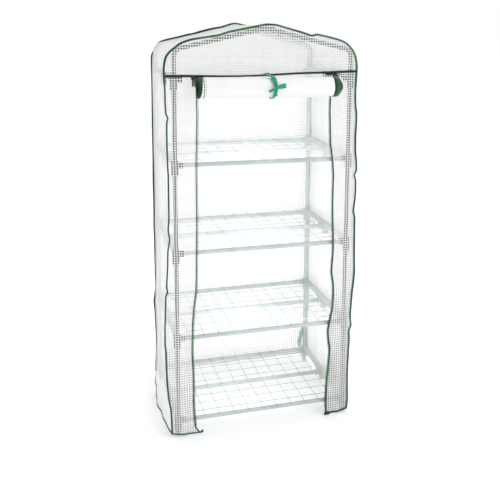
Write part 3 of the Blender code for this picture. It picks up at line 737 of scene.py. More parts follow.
# ------------------------------------------------------------------ ridge fittings
for end_name, sy in (("front", -1), ("rear", 1)):
    angle = math.atan(ROOF_SLOPE)
    arms = [Vector((-math.cos(angle), 0, -math.sin(angle))), Vector((math.cos(angle), 0, -math.sin(angle))), Vector((0, -sy, 0))]
    base, tools = None, []
    for direction in arms:
        v, f, _ = turned([(0.0100, -0.0090), (0.0108, -0.0080), (0.0108, 0.0285), (0.0114, 0.0292), (0.0114, 0.0332), (0.0108, 0.0340)], 28)
        f = f + [tuple(range(28))[::-1], tuple(range(len(v) - 28, len(v)))]
        turn_to = np.array(direction.to_track_quat("Z", "Y").to_matrix())
        bm = to_bm(v @ turn_to.T, f)
        if base is None:
            base = temp_object(bm)
        else:
            tools.append((temp_object(bm), "UNION"))
    for direction in arms:
        v, f, _ = turned([(TUBE_R + 0.00035, 0.0105), (TUBE_R + 0.00035, 0.06)], 28)
        f = f + [tuple(range(28))[::-1], tuple(range(28, 56))]
        turn_to = np.array(direction.to_track_quat("Z", "Y").to_matrix())
        tools.append((temp_object(to_bm(v @ turn_to.T, f)), "DIFFERENCE"))
    for tool, operation in tools:
        m = base.modifiers.new("b", "BOOLEAN")
        m.operation, m.solver, m.object = operation, "EXACT", tool
    bpy.context.view_layer.update()
    graph = bpy.context.evaluated_depsgraph_get()
    done = bpy.data.meshes.new_from_object(base.evaluated_get(graph))
    verts = np.array([v.co for v in done.vertices]) + np.array([0, sy * POST_Y, ROOF_Z])
    faces = [tuple(p.vertices) for p in done.polygons]
    for obj in [base] + [t for t, _ in tools]:
        bpy.data.objects.remove(obj, do_unlink=True)
    bpy.data.meshes.remove(done)
    # the front fitting takes the painted-shade copy, the rear one the painted-light copy
    make(f"apex_{end_name}_moulding", verts, faces, [M_BAR_SHADED if sy < 0 else M_BAR], "frame", "moulding", sharp=38,
         stands_for=(f"apex_connector_{end_name}",))

# ------------------------------------------------------------------ wire shelves
WIRE_R = 0.00135
for tier in (1, 2, 3, 4):
    low, high = box(f"shelf_{tier}")
    base = low.z
    shape = Shape()
    ends_x, ends_y = high.x, high.y
    lower, upper = base + WIRE_R, base + WIRE_R * 2.75
    for k in range(11):  # front to back, lying on the rails, tips bent over them
        x = (k - 5) * 0.0563
        path = [(x, -ends_y - 0.0008, base - 0.0022), (x, -ends_y - 0.0004, base - 0.0004), (x, -ends_y + 0.0028, lower)]
        path += [(x, -ends_y + 0.0028 + (2 * ends_y - 0.0056) * t / 6, lower) for t in range(1, 6)]
        path += [(x, ends_y - 0.0028, lower), (x, ends_y + 0.0004, base - 0.0004), (x, ends_y + 0.0008, base - 0.0022)]
        shape.add(*swept(path, oval(WIRE_R, WIRE_R, 8), (1, 0, 0)))
    for k in range(8):  # side to side, welded on top
        y = (k - 3.5) * 0.0580
        path = [(-ends_x + 2 * ends_x * t / 6, y, upper) for t in range(7)]
        shape.add(*swept(path, oval(WIRE_R, WIRE_R, 8), (0, 0, 1)))
    # the top shelf's wires take the lighter copy: painted light
    shape.made(f"shelf_{tier}_wires", [M_WIRE_LIT_TOP if tier == 4 else M_WIRE], f"shelf_{tier}", "shelf_wire", sharp=50, stands_for=(f"shelf_{tier}",))

# ------------------------------------------------------------------ cover outline
COVER_SLOPE, SHOULDER_R = 0.2233, 0.065
_angle = math.atan(COVER_SLOPE)
_turn = math.pi / 2 - _angle
_corner = RIDGE_Z - COVER_SLOPE * SIDE_X
SHOULDER_X, SHOULDER_Z = SIDE_X - SHOULDER_R, _corner - SHOULDER_R * math.tan(_turn / 2)
SIDE_LEN = SHOULDER_Z - HEM_Z
ARC_LEN = SHOULDER_R * _turn
TANGENT_X = SHOULDER_X + SHOULDER_R * math.sin(_angle)
SLOPE_LEN = TANGENT_X / math.cos(_angle)
HALF_LEN = SIDE_LEN + ARC_LEN + SLOPE_LEN


def at_run(s):
    """(x, z, outward x, outward z) of the cover's ideal outline, s metres from the left hem."""
    mirror = s > HALF_LEN
    r = 2 * HALF_LEN - s if mirror else s
    if r <= SIDE_LEN:
        x, z, nx, nz = SIDE_X, HEM_Z + r, 1.0, 0.0
    elif r <= SIDE_LEN + ARC_LEN:
        a = (r - SIDE_LEN) / SHOULDER_R
        x, z = SHOULDER_X + SHOULDER_R * math.cos(a), SHOULDER_Z + SHOULDER_R * math.sin(a)
        nx, nz = math.cos(a), math.sin(a)
    else:
        d = HALF_LEN - r
        x, z = d * math.cos(_angle), RIDGE_Z - d * math.sin(_angle)
        nx, nz = math.sin(_angle), math.cos(_angle)
        soft = math.exp(-(d / 0.012) ** 2)  # the film rounds over the ridge
        z -= 0.0022 * soft
        nx *= 1 - soft
    return (x, z, nx, nz) if mirror else (-x, z, -nx, nz)


RUN = np.linspace(0, 2 * HALF_LEN, 701)
OUTLINE = np.array([at_run(s) for s in RUN])


def left(z):
    return z - HEM_Z


def roof(x):
    return HALF_LEN + x / math.cos(_angle)


def right(z):
    return 2 * HALF_LEN - (z - HEM_Z)


def left_arc(degrees):
    return SIDE_LEN + SHOULDER_R * math.radians(degrees)


def right_arc(degrees):
    return 2 * HALF_LEN - left_arc(degrees)


# how far each end seam stands out from the ideal outline, in millimetres
FRONT_OUT = keyed(RUN, [
    (left(z), d) for z, d in (
        (0.012, 0), (0.072, 0), (0.125, 2), (0.165, 9), (0.237, 15), (0.308, 17), (0.366, 18), (0.383, 21), (0.453, 20),
        (0.517, 17), (0.571, 15), (0.586, 7), (0.602, 12), (0.674, 7), (0.741, 5), (0.766, 0), (0.782, -3), (0.796, 2),
        (0.822, 3), (0.852, 0), (1.005, 0), (1.051, 2), (1.109, 3), (1.165, 3), (1.200, 2), (1.209, -4), (1.220, 5),
        (1.264, 7), (1.305, 7), (1.358, 10), (1.377, 10), (1.399, 7))
] + [
    (left_arc(a), d) for a, d in ((10.6, 4), (19, 1.5), (33, -3), (52, -7), (75, -2.2))
] + [
    (roof(x), d) for x, d in (
        (-0.289, 0), (-0.267, 2), (-0.241, 1), (-0.216, -1), (-0.172, -4), (-0.132, 0), (-0.083, -1), (-0.027, -2), (0.013, 0),
        (0.038, 3), (0.074, 1), (0.127, -1), (0.161, -4), (0.171, -4), (0.180, 5), (0.209, 6), (0.237, 6.2), (0.266, 5.8), (0.291, 2.4))
] + [
    (right_arc(a), d) for a, d in ((72, -3.3), (60, -8.4), (41, -12), (22, -13.5), (2, -12))
] + [
    (right(z), d) for z, d in (
        (1.386, -9), (1.365, -9), (1.296, -12), (1.258, -11), (1.231, -9), (1.213, -5), (1.175, -5), (1.126, -7), (1.068, -6),
        (1.029, -1), (0.994, 1), (0.979, -8), (0.959, -1), (0.912, 0), (0.872, -3), (0.837, -7), (0.817, -1), (0.752, 0),
        (0.688, 1), (0.597, 4), (0.552, 1), (0.515, -3), (0.464, -5), (0.422, -7), (0.377, -2), (0.364, -10), (0.323, -8),
        (0.242, -11), (0.171, -12), (0.131, -11), (0.073, -9), (0.034, -12))
], 1, 1) / 1000
REAR_OUT = keyed(RUN, [
    (left(z), max(d, -14)) for z, d in (
        (0.027, -9), (0.050, -10), (0.128, -13), (0.212, -14), (0.321, -11), (0.365, -7), (0.418, -15), (0.483, -14),
        (0.563, -18), (0.606, -17), (0.642, -14), (0.699, -12), (0.787, -14), (0.819, -23), (0.830, -20), (0.882, -21),
        (0.942, -18), (0.993, -15), (1.027, -16), (1.103, -14), (1.153, -17), (1.212, -20), (1.354, -21), (1.380, -20))
] + [
    (left_arc(a), d) for a, d in ((0, -16), (12, -21), (30, -23), (48, -21), (70, -13))
] + [
    (roof(x), d) for x, d in (
        (-0.284, -10), (-0.255, -9.5), (-0.223, -9.3), (-0.190, -8), (-0.180, -10), (-0.141, -7.3), (-0.108, -6), (-0.079, -6),
        (-0.058, -8), (-0.011, -3), (0.0, -1), (0.05, -1), (0.15, -5), (0.25, -3), (0.290, -5))
] + [
    (right(z), d) for z, d in (
        (1.380, -8), (1.300, -8), (1.180, -11), (1.080, -7), (0.960, -10), (0.900, -8), (0.780, -12), (0.700, -6),
        (0.600, -8), (0.500, -11), (0.420, -8), (0.300, -5), (0.200, -9), (0.100, -6), (0.030, -5))
], 1, 1) / 1000


def bulge_front(x, z):
    """How far the front film stands forward of its ideal plane."""
    x, z = np.asarray(x, float), np.asarray(z, float)
    calm = ease((np.abs(np.abs(x) - 0.262) - 0.004) / 0.035)
    low = 0.30 + 0.70 * np.exp(-z / 0.40)
    folds = 0.0022 * np.sin(TAU * x / 0.061 + 1.9 * np.sin(2.3 * z + 0.7) + 0.8) * low
    slant = 0.0011 * np.sin(TAU * (x * 0.8 + z) / 0.085 + 2 * np.sin(7 * x)) * np.exp(-z / 0.22)
    broad = 0.0010 * np.sin(5.1 * z + 9 * x) + 0.0007 * np.sin(13.0 * z - 21 * x + 1.2)
    top = ease((z - SEAM_Z) / 0.05)
    header = 0.0016 * np.sin(TAU * x / 0.23 + 1.1) * np.sin(TAU * z / 0.31)
    out = 0.0006 + (folds + slant) * (1 - top) * calm + broad * (0.25 + 0.75 * calm) + header * top
    return np.clip(out, -0.0025, 0.0080)


def hem_lift(x, t):
    """How far the hem is drawn up above HEM_Z; t runs 0 at the front to 1 at the back."""
    x, t = np.asarray(x, float), np.asarray(t, float)
    across = np.clip(np.abs(x) / SIDE_X, 0, 1)
    front = -0.002 + 0.0085 * across ** 10 + np.where(x > 0, 0.003 * across ** 3, 0.0)
    side = np.interp(t, [0, 0.15, 0.5, 1.0], [0.0065, 0.0105, 0.0125, BACK_HEM_Z - HEM_Z])
    return front + (side - 0.0065) * np.where(t > 0, 1.0, 0.0)


def hem_reach(z):
    return np.exp(-np.clip(z - HEM_Z, 0, None) / 0.10)


def end_curve(out, t):
    """The sewn corner between the side and an end panel, as x, y, z rows."""
    x = OUTLINE[:, 0] + OUTLINE[:, 2] * out
    z = OUTLINE[:, 1] + OUTLINE[:, 3] * out
    z = z + (hem_lift(x, 0.0) if t == 0 else BACK_HEM_Z - HEM_Z) * hem_reach(z)
    if t == 0:
        y = FRONT_Y - bulge_front(x, z)
    else:
        y = BACK_Y + 0.0006 + 0.0012 * np.sin(4.0 * z + 2 * x)
    return np.stack([x, y, z], -1)


FRONT_EDGE, REAR_EDGE = end_curve(FRONT_OUT, 0.0), end_curve(REAR_OUT, 1.0)

# ------------------------------------------------------------------ side-roof-side sheet
DEPTH_STEPS = 65
T = np.linspace(0, 1, DEPTH_STEPS)
T = T + 0.010 * np.sin(TAU * T) * -1.0  # a little finer at both ends
s_row = RUN[:, None]
is_roof = ease((OUTLINE[:, 3][:, None] - 0.15) / 0.5)
arch_in = np.sin(math.pi * T)[None, :]
near_ridge = np.exp(-(OUTLINE[:, 0][:, None] / 0.05) ** 2)
height = OUTLINE[:, 1][:, None]
is_left = OUTLINE[:, 0][:, None] < 0
dip = -is_roof * (0.0085 * (1 - near_ridge) + 0.0048 * near_ridge) * arch_in ** 0.7
roof_folds = is_roof * arch_in * (0.0012 * np.sin(TAU * (T[None, :] * 3.3 + 1.1 * s_row)) + 0.0009 * np.sin(TAU * (s_row * 5.3 - T[None, :] * 1.7)))
phase = 0.9 * np.sin(2.1 * s_row) + 0.35 * np.sin(5.7 * s_row + 1.0)
folds = 0.0030 * np.sin(TAU * T[None, :] * 2.4 + phase) + 0.0018 * np.sin(TAU * T[None, :] * 5.2 - 1.7 * phase + 0.6)
creases = 0.0011 * np.sin(TAU * (s_row * 3.1 + T[None, :] * 1.3)) + 0.0007 * np.sin(TAU * (s_row * 7.3 - T[None, :] * 2.1))
# drawn folds running down and forward, strongest below the middle of the side
run_down = np.where(is_left, s_row, 2 * HALF_LEN - s_row)
slanted = np.abs(np.sin(math.pi * (T[None, :] * 3.6 + run_down * 2.7 + 0.25 * np.sin(6 * run_down)))) ** 0.7
slanted = (slanted - 0.6) * 0.0042 * np.exp(-((height - 0.42) / 0.30) ** 2)
sides = (1 - is_roof) * (folds + creases + slanted + 0.0030) * arch_in ** 0.6
skirt = (1 - is_roof) * arch_in * np.exp(-(height - HEM_Z) / 0.14) * np.where(is_left, 0.021, 0.010)
push = dip + roof_folds + sides + skirt
normal = np.stack([OUTLINE[:, 2], np.zeros(len(RUN)), OUTLINE[:, 3]], -1)[:, None, :]
lerp = FRONT_EDGE[:, None, :] * (1 - T)[None, :, None] + REAR_EDGE[:, None, :] * T[None, :, None]
# broad waves of each end seam run right through; its kinks die out within a hand's width
front_broad, rear_broad = smoothed(FRONT_OUT, 14), smoothed(REAR_OUT, 14)
front_kinks, rear_kinks = FRONT_OUT - front_broad, REAR_OUT - rear_broad
share_back = np.clip(T, 0, 1)
broad = front_broad[:, None] * (1 - share_back) ** 1.2 + rear_broad[:, None] * share_back ** 2.2
wanted_out = broad + front_kinks[:, None] * np.exp(-T / 0.10)[None, :] + rear_kinks[:, None] * np.exp(-(1 - T) / 0.10)[None, :]
wanted_out[:, 0], wanted_out[:, -1] = FRONT_OUT, REAR_OUT
ends_out = FRONT_OUT[:, None] * (1 - T)[None, :] + REAR_OUT[:, None] * T[None, :]
wrap = lerp + normal * (wanted_out - ends_out + push)[:, :, None]
front_lift = hem_lift(OUTLINE[:, 0], 0.0)[:, None]
lift_wanted = hem_lift(np.full_like(OUTLINE[:, 0], SIDE_X)[:, None] * np.sign(OUTLINE[:, 0][:, None]), T[None, :])
lift_wanted[:, 0] = front_lift[:, 0]
lift_lerp = front_lift * (1 - T)[None, :] + (BACK_HEM_Z - HEM_Z) * T[None, :]
wrap[:, :, 2] += (lift_wanted - lift_lerp) * hem_reach(height)
# the film never cuts into the frame inside it
past_post = np.clip(np.abs(wrap[:, :, 1]) - POST_Y, 0, None)
side_clear = POST_X + np.sqrt(np.clip(0.0138 ** 2 - past_post ** 2, 0, None))
inward = (np.abs(wrap[:, :, 0]) < side_clear) & (wrap[:, :, 2] < SHOULDER_Z - 0.01) & (is_roof < 0.02) & (np.abs(wrap[:, :, 1]) < 0.2465)
wrap[:, :, 0] = np.where(inward, np.sign(wrap[:, :, 0]) * side_clear, wrap[:, :, 0])
# and it lies on the bent roof tubes where it is drawn in over them
off_tube = np.clip(0.0086 ** 2 - (np.abs(wrap[:, :, 1]) - POST_Y) ** 2, 0, None)
tube_edge = np.where(off_tube > 0, np.sqrt(off_tube), -1.0)
bend_x = POST_X - ROOF_BEND_R
bend_z = ROOF_Z - ROOF_SLOPE * POST_X - ROOF_BEND_R * math.tan((math.pi / 2 - math.atan(ROOF_SLOPE)) / 2)
half_x = np.abs(wrap[:, :, 0])
reach_x, reach_z = half_x - bend_x, wrap[:, :, 2] - bend_z
reach = np.hypot(reach_x, reach_z)
in_bend = (reach_z > 0) & (np.arctan2(reach_x, reach_z) > math.atan(ROOF_SLOPE)) & (tube_edge > 0) & (reach > 1e-6)
grow = np.where(in_bend & (reach < ROOF_BEND_R + tube_edge), (ROOF_BEND_R + tube_edge) / np.maximum(reach, 1e-6), 1.0)
wrap[:, :, 0] = np.sign(wrap[:, :, 0]) * (bend_x + reach_x * grow) * np.where(in_bend, 1, 0) + wrap[:, :, 0] * np.where(in_bend, 0, 1)
wrap[:, :, 2] = np.where(in_bend, bend_z + reach_z * grow, wrap[:, :, 2])
low_side = (reach_z <= 0) & (reach_z > -0.030) & (tube_edge > 0) & (half_x < POST_X + tube_edge)
wrap[:, :, 0] = np.where(low_side, np.sign(wrap[:, :, 0]) * (POST_X + tube_edge), wrap[:, :, 0])
over_tube = ROOF_Z - ROOF_SLOPE * half_x + tube_edge / math.cos(math.atan(ROOF_SLOPE))
on_slope = (tube_edge > 0) & ~in_bend & (reach_z > 0) & (half_x > 0.02)
wrap[:, :, 2] = np.where(on_slope, np.maximum(wrap[:, :, 2], over_tube), wrap[:, :, 2])
wrap_uv = np.stack(np.meshgrid(RUN, T * (BACK_Y - FRONT_Y), indexing="ij"), -1)[..., ::-1]
CUT_LEFT = int(np.searchsorted(RUN, SIDE_LEN - 0.02))
CUT_RIGHT = len(RUN) - 1 - CUT_LEFT
for piece, i0, i1 in (("left_side", 0, CUT_LEFT), ("roof", CUT_LEFT, CUT_RIGHT), ("right_side", CUT_RIGHT, len(RUN) - 1)):
    part = wrap[i0:i1 + 1]
    make(f"cover_{piece}", part.reshape(-1, 3), grid_faces(part.shape[0], DEPTH_STEPS), [M_FILM], "cover", "cover_film",
         uv=wrap_uv[i0:i1 + 1].reshape(-1, 2), stands_for=("cover_wrap",) if piece == "roof" else ())

# ------------------------------------------------------------------ back sheet
def fill_panel(edge, rows):
    """A sheet between an arched edge and its own hem line, rows from hem to edge middle."""
    n = len(edge)
    half = n // 2
    out = []
    for k in range(half + 1):  # pair left and right at the same run, up to the ridge
        a, b = edge[k], edge[n - 1 - k]
        out.append([a * (1 - u) + b * u for u in np.linspace(0, 1, rows)])
    return np.array(out)


back = fill_panel(REAR_EDGE, 61)
u = (back[:, :, 0]) / SIDE_X
inside = np.clip(1 - np.abs(u) ** 6, 0, 1)
back[:, :, 1] += inside * (0.0022 * np.sin(TAU * u * 1.9 + 1.4 * np.sin(2.0 * back[:, :, 2])) * (0.35 + 0.65 * np.exp(-back[:, :, 2] / 0.5))
                           + 0.0014 * np.sin(3.3 * back[:, :, 2] + 2 * u) + 0.0020)
make("cover_back_sheet", back.reshape(-1, 3), grid_faces(back.shape[0], 61, flip=False), [M_FILM], "cover", "cover_film",
     uv=back[:, :, [0, 2]].reshape(-1, 2), stands_for=("cover_back",))

# ------------------------------------------------------------------ front: doorway edges, strips and header
LEFT_EDGE_KEYS = [(1.352, -0.253), (1.269, -0.251), (1.216, -0.250), (1.162, -0.251), (1.105, -0.253), (1.047, -0.255),
                  (0.852, -0.254), (0.736, -0.256), (0.643, -0.257), (0.579, -0.259), (0.529, -0.266), (0.460, -0.272),
                  (0.391, -0.274), (0.344, -0.275), (0.272, -0.272), (0.200, -0.271), (0.152, -0.272), (0.088, -0.269),
                  (0.054, -0.266), (0.042, -0.262), (0.034, -0.256), (0.029, -0.249), (0.024, -0.247)]
RIGHT_EDGE_KEYS = [(1.362, 0.246), (1.268, 0.2425), (1.223, 0.242), (1.148, 0.245), (1.102, 0.247), (1.071, 0.252),
                   (1.040, 0.257), (0.975, 0.262), (0.917, 0.261), (0.838, 0.262), (0.758, 0.266), (0.694, 0.268),
                   (0.646, 0.265), (0.606, 0.263), (0.559, 0.271), (0.509, 0.273), (0.462, 0.271), (0.417, 0.262),
                   (0.371, 0.254), (0.343, 0.256), (0.290, 0.264), (0.257, 0.262), (0.200, 0.258), (0.153, 0.254),
                   (0.086, 0.252), (0.037, 0.253), (0.024, 0.254)]
SEAM_KEYS = [(-0.360, 1.352), (-0.255, 1.352), (-0.152, 1.350), (-0.077, 1.351), (0.0, 1.353), (0.103, 1.359), (0.209, 1.361),
             (0.345, 1.365)]
_rows = np.linspace(0.0, 1.40, 281)
_left_edge = keyed(_rows, LEFT_EDGE_KEYS, 1, 2)
_right_edge = keyed(_rows, RIGHT_EDGE_KEYS, 1, 2)
_cols = np.linspace(-0.37, 0.37, 149)
_seam = keyed(_cols, SEAM_KEYS, 6)


def door_left(z):
    return np.interp(z, _rows, _left_edge)


def door_right(z):
    return np.interp(z, _rows, _right_edge)


def seam_z(x):
    return np.interp(x, _cols, _seam)


def on_front(x, z, proud=0.0):
    return np.stack([x, FRONT_Y - bulge_front(x, z) - proud, z], -1)


def outer_edge(sign):
    """x of the front's outer edge against z, from the hem up to the seam."""
    keep = (OUTLINE[:, 0] * sign > 0) & (FRONT_EDGE[:, 2] < SHOULDER_Z)
    part = FRONT_EDGE[keep]
    part = part[np.argsort(part[:, 2])]
    return part[:, 2], part[:, 0]


def strip(sign, columns=22, rows=231):
    zs, xs = outer_edge(sign)
    out = np.zeros((rows, columns, 3))
    for i in range(rows):
        t = i / (rows - 1)
        for j in range(columns):
            u_ = j / (columns - 1)
            # height first, from the hem line to the seam line, then across
            x_guess = np.interp(HEM_Z + t * (SEAM_Z - HEM_Z), zs, xs) * (1 - u_) + (door_left if sign < 0 else door_right)(HEM_Z + t * (SEAM_Z - HEM_Z)) * u_
            z0 = HEM_Z + float(hem_lift(x_guess, 0.0))
            z1 = seam_z(x_guess)
            z = z0 + (z1 - z0) * t
            x = np.interp(z, zs, xs) * (1 - u_) + (door_left if sign < 0 else door_right)(z) * u_
            out[i, j] = (x, 0, z)
    out[:, :, 1] = FRONT_Y - bulge_front(out[:, :, 0], out[:, :, 2])
    return out


STRIPS = {}
for side_name, sign in (("left", -1), ("right", 1)):
    part = strip(sign)
    STRIPS[side_name] = part
    make(f"cover_front_strip_{side_name}", part.reshape(-1, 3), grid_faces(part.shape[0], part.shape[1], flip=sign > 0),
         [M_STRIP_LEFT if sign < 0 else M_STRIP_RIGHT], "cover", "cover_film", uv=part[:, :, [0, 2]].reshape(-1, 2))

# header: the arched top of the front, down to the seam
top_mask = FRONT_EDGE[:, 2] >= seam_z(FRONT_EDGE[:, 0]) - 1e-6
top_line = FRONT_EDGE[top_mask]
run_top = np.concatenate([[0], np.cumsum(np.linalg.norm(np.diff(top_line, axis=0), axis=1))])
share = run_top / run_top[-1]
zsl, xsl = outer_edge(-1)
zsr, xsr = outer_edge(1)
seam_ends = (np.interp(SEAM_KEYS[0][1], zsl, xsl), np.interp(SEAM_KEYS[-1][1], zsr, xsr))
share_x = (top_line[:, 0] - top_line[0, 0]) / (top_line[-1, 0] - top_line[0, 0])
mixed = np.clip(0.5 * share + 0.5 * share_x, 0, 1)
foot_x = seam_ends[0] + (seam_ends[1] - seam_ends[0]) * mixed
rows_h = 33
header = np.zeros((len(top_line), rows_h, 3))
for j, w in enumerate(np.linspace(0, 1, rows_h)):
    x = foot_x * (1 - w) + top_line[:, 0] * w
    z = seam_z(foot_x) * (1 - w) + top_line[:, 2] * w
    header[:, j] = on_front(x, z)
header[:, -1] = top_line
make("cover_front_header", header.reshape(-1, 3), grid_faces(header.shape[0], rows_h, flip=False), [M_HEADER], "cover", "cover_film",
     uv=header[:, :, [0, 2]].reshape(-1, 2), stands_for=("cover_front",))


# ------------------------------------------------------------------ bindings and piping
def binding(name, path, section, ref, material, body="cover", slot="cover_film", size=None, rides=True):
    shape = Shape()
    shape.add(*swept(path, section, ref, size))
    return shape.made(name, [material], body, slot, sharp=60, rides=rides)


def outward(path, x_by=0.0, y_by=0.0):
    path = np.array(path, float)
    path[:, 1] += y_by
    return path


front_line = FRONT_EDGE.copy()
front_line[:, 0] += OUTLINE[:, 2] * 0.0012
front_line[:, 2] += OUTLINE[:, 3] * 0.0012
front_line[:, 1] -= 0.0008
width = 1.0 + 0.10 * np.sin(RUN * 9.0) + 0.07 * np.sin(RUN * 23.0 + 1.0)
lean = np.interp(FRONT_EDGE[:, 2], [0.0, 0.5, 0.9, 1.2, 1.3], [0.88, 0.84, 0.72, 0.86, 1.0])
binding("binding_front", front_line, oval(0.0027, 0.0037, 12, 0.9), (0, 1, 0), M_TAPE, size=width * np.where(OUTLINE[:, 2] < -0.5, lean, 1.0))
rear_line = REAR_EDGE.copy()
over_roof = np.clip(OUTLINE[:, 3] * 1.4, 0, 1)
down_left = np.clip(-OUTLINE[:, 2] * 1.4, 0, 1)
rear_line[:, 0] += OUTLINE[:, 2] * 0.0010
rear_line[:, 2] += OUTLINE[:, 3] * 0.0010
REAR_SIDES = 12
rear_band = Shape().add(*swept(rear_line, oval(0.0034, 0.0038, REAR_SIDES, 0.9), (0, 1, 0), width * (1 + 0.50 * np.maximum(over_roof, down_left))))
for i in range(len(rear_line) - 1):  # down the right the turned-in edge of the tape shows pale from inside
    if RUN[i] > right(1.43):
        for k in range(REAR_SIDES):
            if math.cos(TAU * (k + 1) / REAR_SIDES) < -0.2:
                rear_band.which[i * REAR_SIDES + k] = 1
rear_band.made("binding_rear", [M_TAPE_DARK, M_TAPE_INSIDE], "cover", "cover_film", sharp=60)

seam_x = np.linspace(seam_ends[0] + 0.001, seam_ends[1] - 0.001, 141)
seam_line = on_front(seam_x, seam_z(seam_x), 0.0022)
thick = 1.0 + 0.25 * np.exp(-((seam_x + 0.30) / 0.07) ** 2) + 0.20 * np.exp(-((seam_x - 0.30) / 0.07) ** 2) - 0.18 * np.exp(-((seam_x + 0.08) / 0.08) ** 2)
binding("binding_header_seam", seam_line, oval(0.0026, 0.0036, 10, 0.9), (0, 1, 0), M_TAPE_SEAM, size=thick)

for side_name, sign in (("left", -1), ("right", 1)):
    part = STRIPS[side_name]
    edge = part[:, -1].copy()
    edge[:, 1] -= 0.0010
    edge[:, 0] += -sign * 0.0010
    slim = np.interp(edge[:, 2], [0.0, 0.2, 0.5, 0.8, 1.1, 1.3], [1.15, 1.05, 1.0, 0.85, 0.72, 0.72] if sign < 0 else [1.35, 1.25, 1.1, 0.95, 0.85, 0.8])
    binding(f"binding_doorway_{side_name}", edge, oval(0.0018, 0.0024 if sign < 0 else 0.0032, 10, 0.7), (0, 1, 0), M_TAPE, size=slim)
    hem = part[0].copy()
    if sign < 0:  # the loose tail of the tape turns up past the doorway
        tail = np.array([hem[-1] + (0.005, -0.0012, 0.0005), hem[-1] + (0.009, -0.0022, 0.0035), hem[-1] + (0.0125, -0.0030, 0.0075)])
        hem = np.vstack([hem, tail])
        size = np.ones(len(hem))
        size[-3:] = (1.3, 1.9, 1.7)
    else:
        hem = np.vstack([hem, hem[-1] + (-0.003, -0.0005, 0.0)])
        size = np.ones(len(hem))
    hem[:, 2] += 0.0004
    hem[:, 1] -= 0.0006
    binding(f"binding_hem_front_{side_name}", hem, oval(0.0017, 0.0026 if sign < 0 else 0.0038, 10, 0.8), (0, 1, 0), M_TAPE if sign < 0 else M_TAPE_DARK, size=size)

for side_name, row in (("left", 0), ("right", -1)):
    hem = wrap[row].copy()
    hem[:, 0] += (-1 if row == 0 else 1) * 0.0004
    binding(f"binding_hem_{side_name}", hem, oval(0.0018, 0.0036, 10, 0.8), (1, 0, 0), M_TAPE_DARK)
hem = back[0].copy()
hem[:, 1] += 0.0004
hem_band = Shape().add(*swept(hem, oval(0.0018, 0.0036, 10, 0.8), (0, 1, 0)))
for i in range(len(hem) - 1):
    for k in range(10):
        if math.cos(TAU * (k + 1) / 10) < -0.2:
            hem_band.which[i * 10 + k] = 1
hem_band.made("binding_hem_back", [M_TAPE_DARK, M_TAPE_INSIDE], "cover", "cover_film", sharp=60)


# folded tape tab at the foot of the right-hand doorway edge
def pad(name, centre_, half, material, body, slot, turn=0.0, bow=0.0, power=0.45, rows=9, columns=9):
    """A small stitched pad: a rounded block with soft edges, standing in the front plane."""
    shape = Shape()
    path = [(centre_[0] - half[0] + 2 * half[0] * k / (rows - 1), centre_[1] + bow * math.sin(math.pi * k / (rows - 1)),
             centre_[2] + turn * (2 * k / (rows - 1) - 1)) for k in range(rows)]
    size = [0.72] + [1.0] * (rows - 2) + [0.72]
    shape.add(*swept(path, oval(half[1], half[2], 14, power), (0, 1, 0), size))
    return shape.made(name, [material], body, slot, sharp=55)


foot = STRIPS["right"][0, -1]
pad("tape_end_right", (foot[0] + 0.003, foot[1] - 0.0025, foot[2] + 0.0002), (0.0115, 0.0034, 0.0058), M_TAPE_DARK, "cover", "cover_film", turn=0.0005)
# tape tabs over the zip tops, in the corners of the header seam
for side_name, x0, x1, dz in (("left", -0.262, -0.226, -0.0045), ("right", 0.222, 0.262, -0.0040)):
    xm = (x0 + x1) / 2
    z = float(seam_z(xm)) + dz
    y = FRONT_Y - float(bulge_front(xm, z)) - 0.0042
    pad(f"zip_top_tab_{side_name}", (xm, y, z), ((x1 - x0) / 2, 0.0022, 0.0058), M_TAB, "cover", "cover_film",
        turn=0.0012 if x0 > 0 else -0.0006)

# ------------------------------------------------------------------ zip teeth down both doorway edges
for side_name, sign in (("left", -1), ("right", 1)):
    edge = STRIPS[side_name][:, -1]
    zs = np.arange(HEM_Z + 0.030, SEAM_Z - 0.004, 0.0040)
    xs = np.interp(zs, edge[:, 2], edge[:, 0])
    ys = np.interp(zs, edge[:, 2], edge[:, 1])
    slope = np.gradient(xs, zs)
    shape = Shape()
    for x, y, z, k in zip(xs, ys, zs, slope):
        cx_ = x - sign * 0.0060
        pts = []
        for dx in (-0.0020, 0.0020):
            for dy in (-0.0011, 0.0011):
                for dz in (-0.0010, 0.0010):
                    taper = 0.7 if dx * -sign > 0 else 1.0
                    pts.append((cx_ + dx + k * dz, y - 0.0010 + dy * taper, z + dz * taper))
        faces = [(0, 1, 3, 2), (4, 6, 7, 5), (0, 4, 5, 1), (2, 3, 7, 6), (0, 2, 6, 4), (1, 5, 7, 3)]
        shape.add(pts, faces)
    shape.made(f"zip_teeth_{side_name}", [M_ZIP], "cover", "zip_plastic", smooth=False)

# ------------------------------------------------------------------ rolled door
ROLL_TURNS = 5
LEFT_OUT, LEFT_IN_TOP, LEFT_IN_LOW = ROLL_X0 - 0.002, ROLL_X0 + 0.0110, ROLL_X0 + 0.0015
RIGHT_IN, RIGHT_OUT = ROLL_X1 - 0.0345, ROLL_X1 - 0.0150


def spiral_scale(phi):
    """1 at the outside, falling evenly inwards, one layer per turn."""
    return 1.0 - 0.72 * phi / (TAU * ROLL_TURNS)


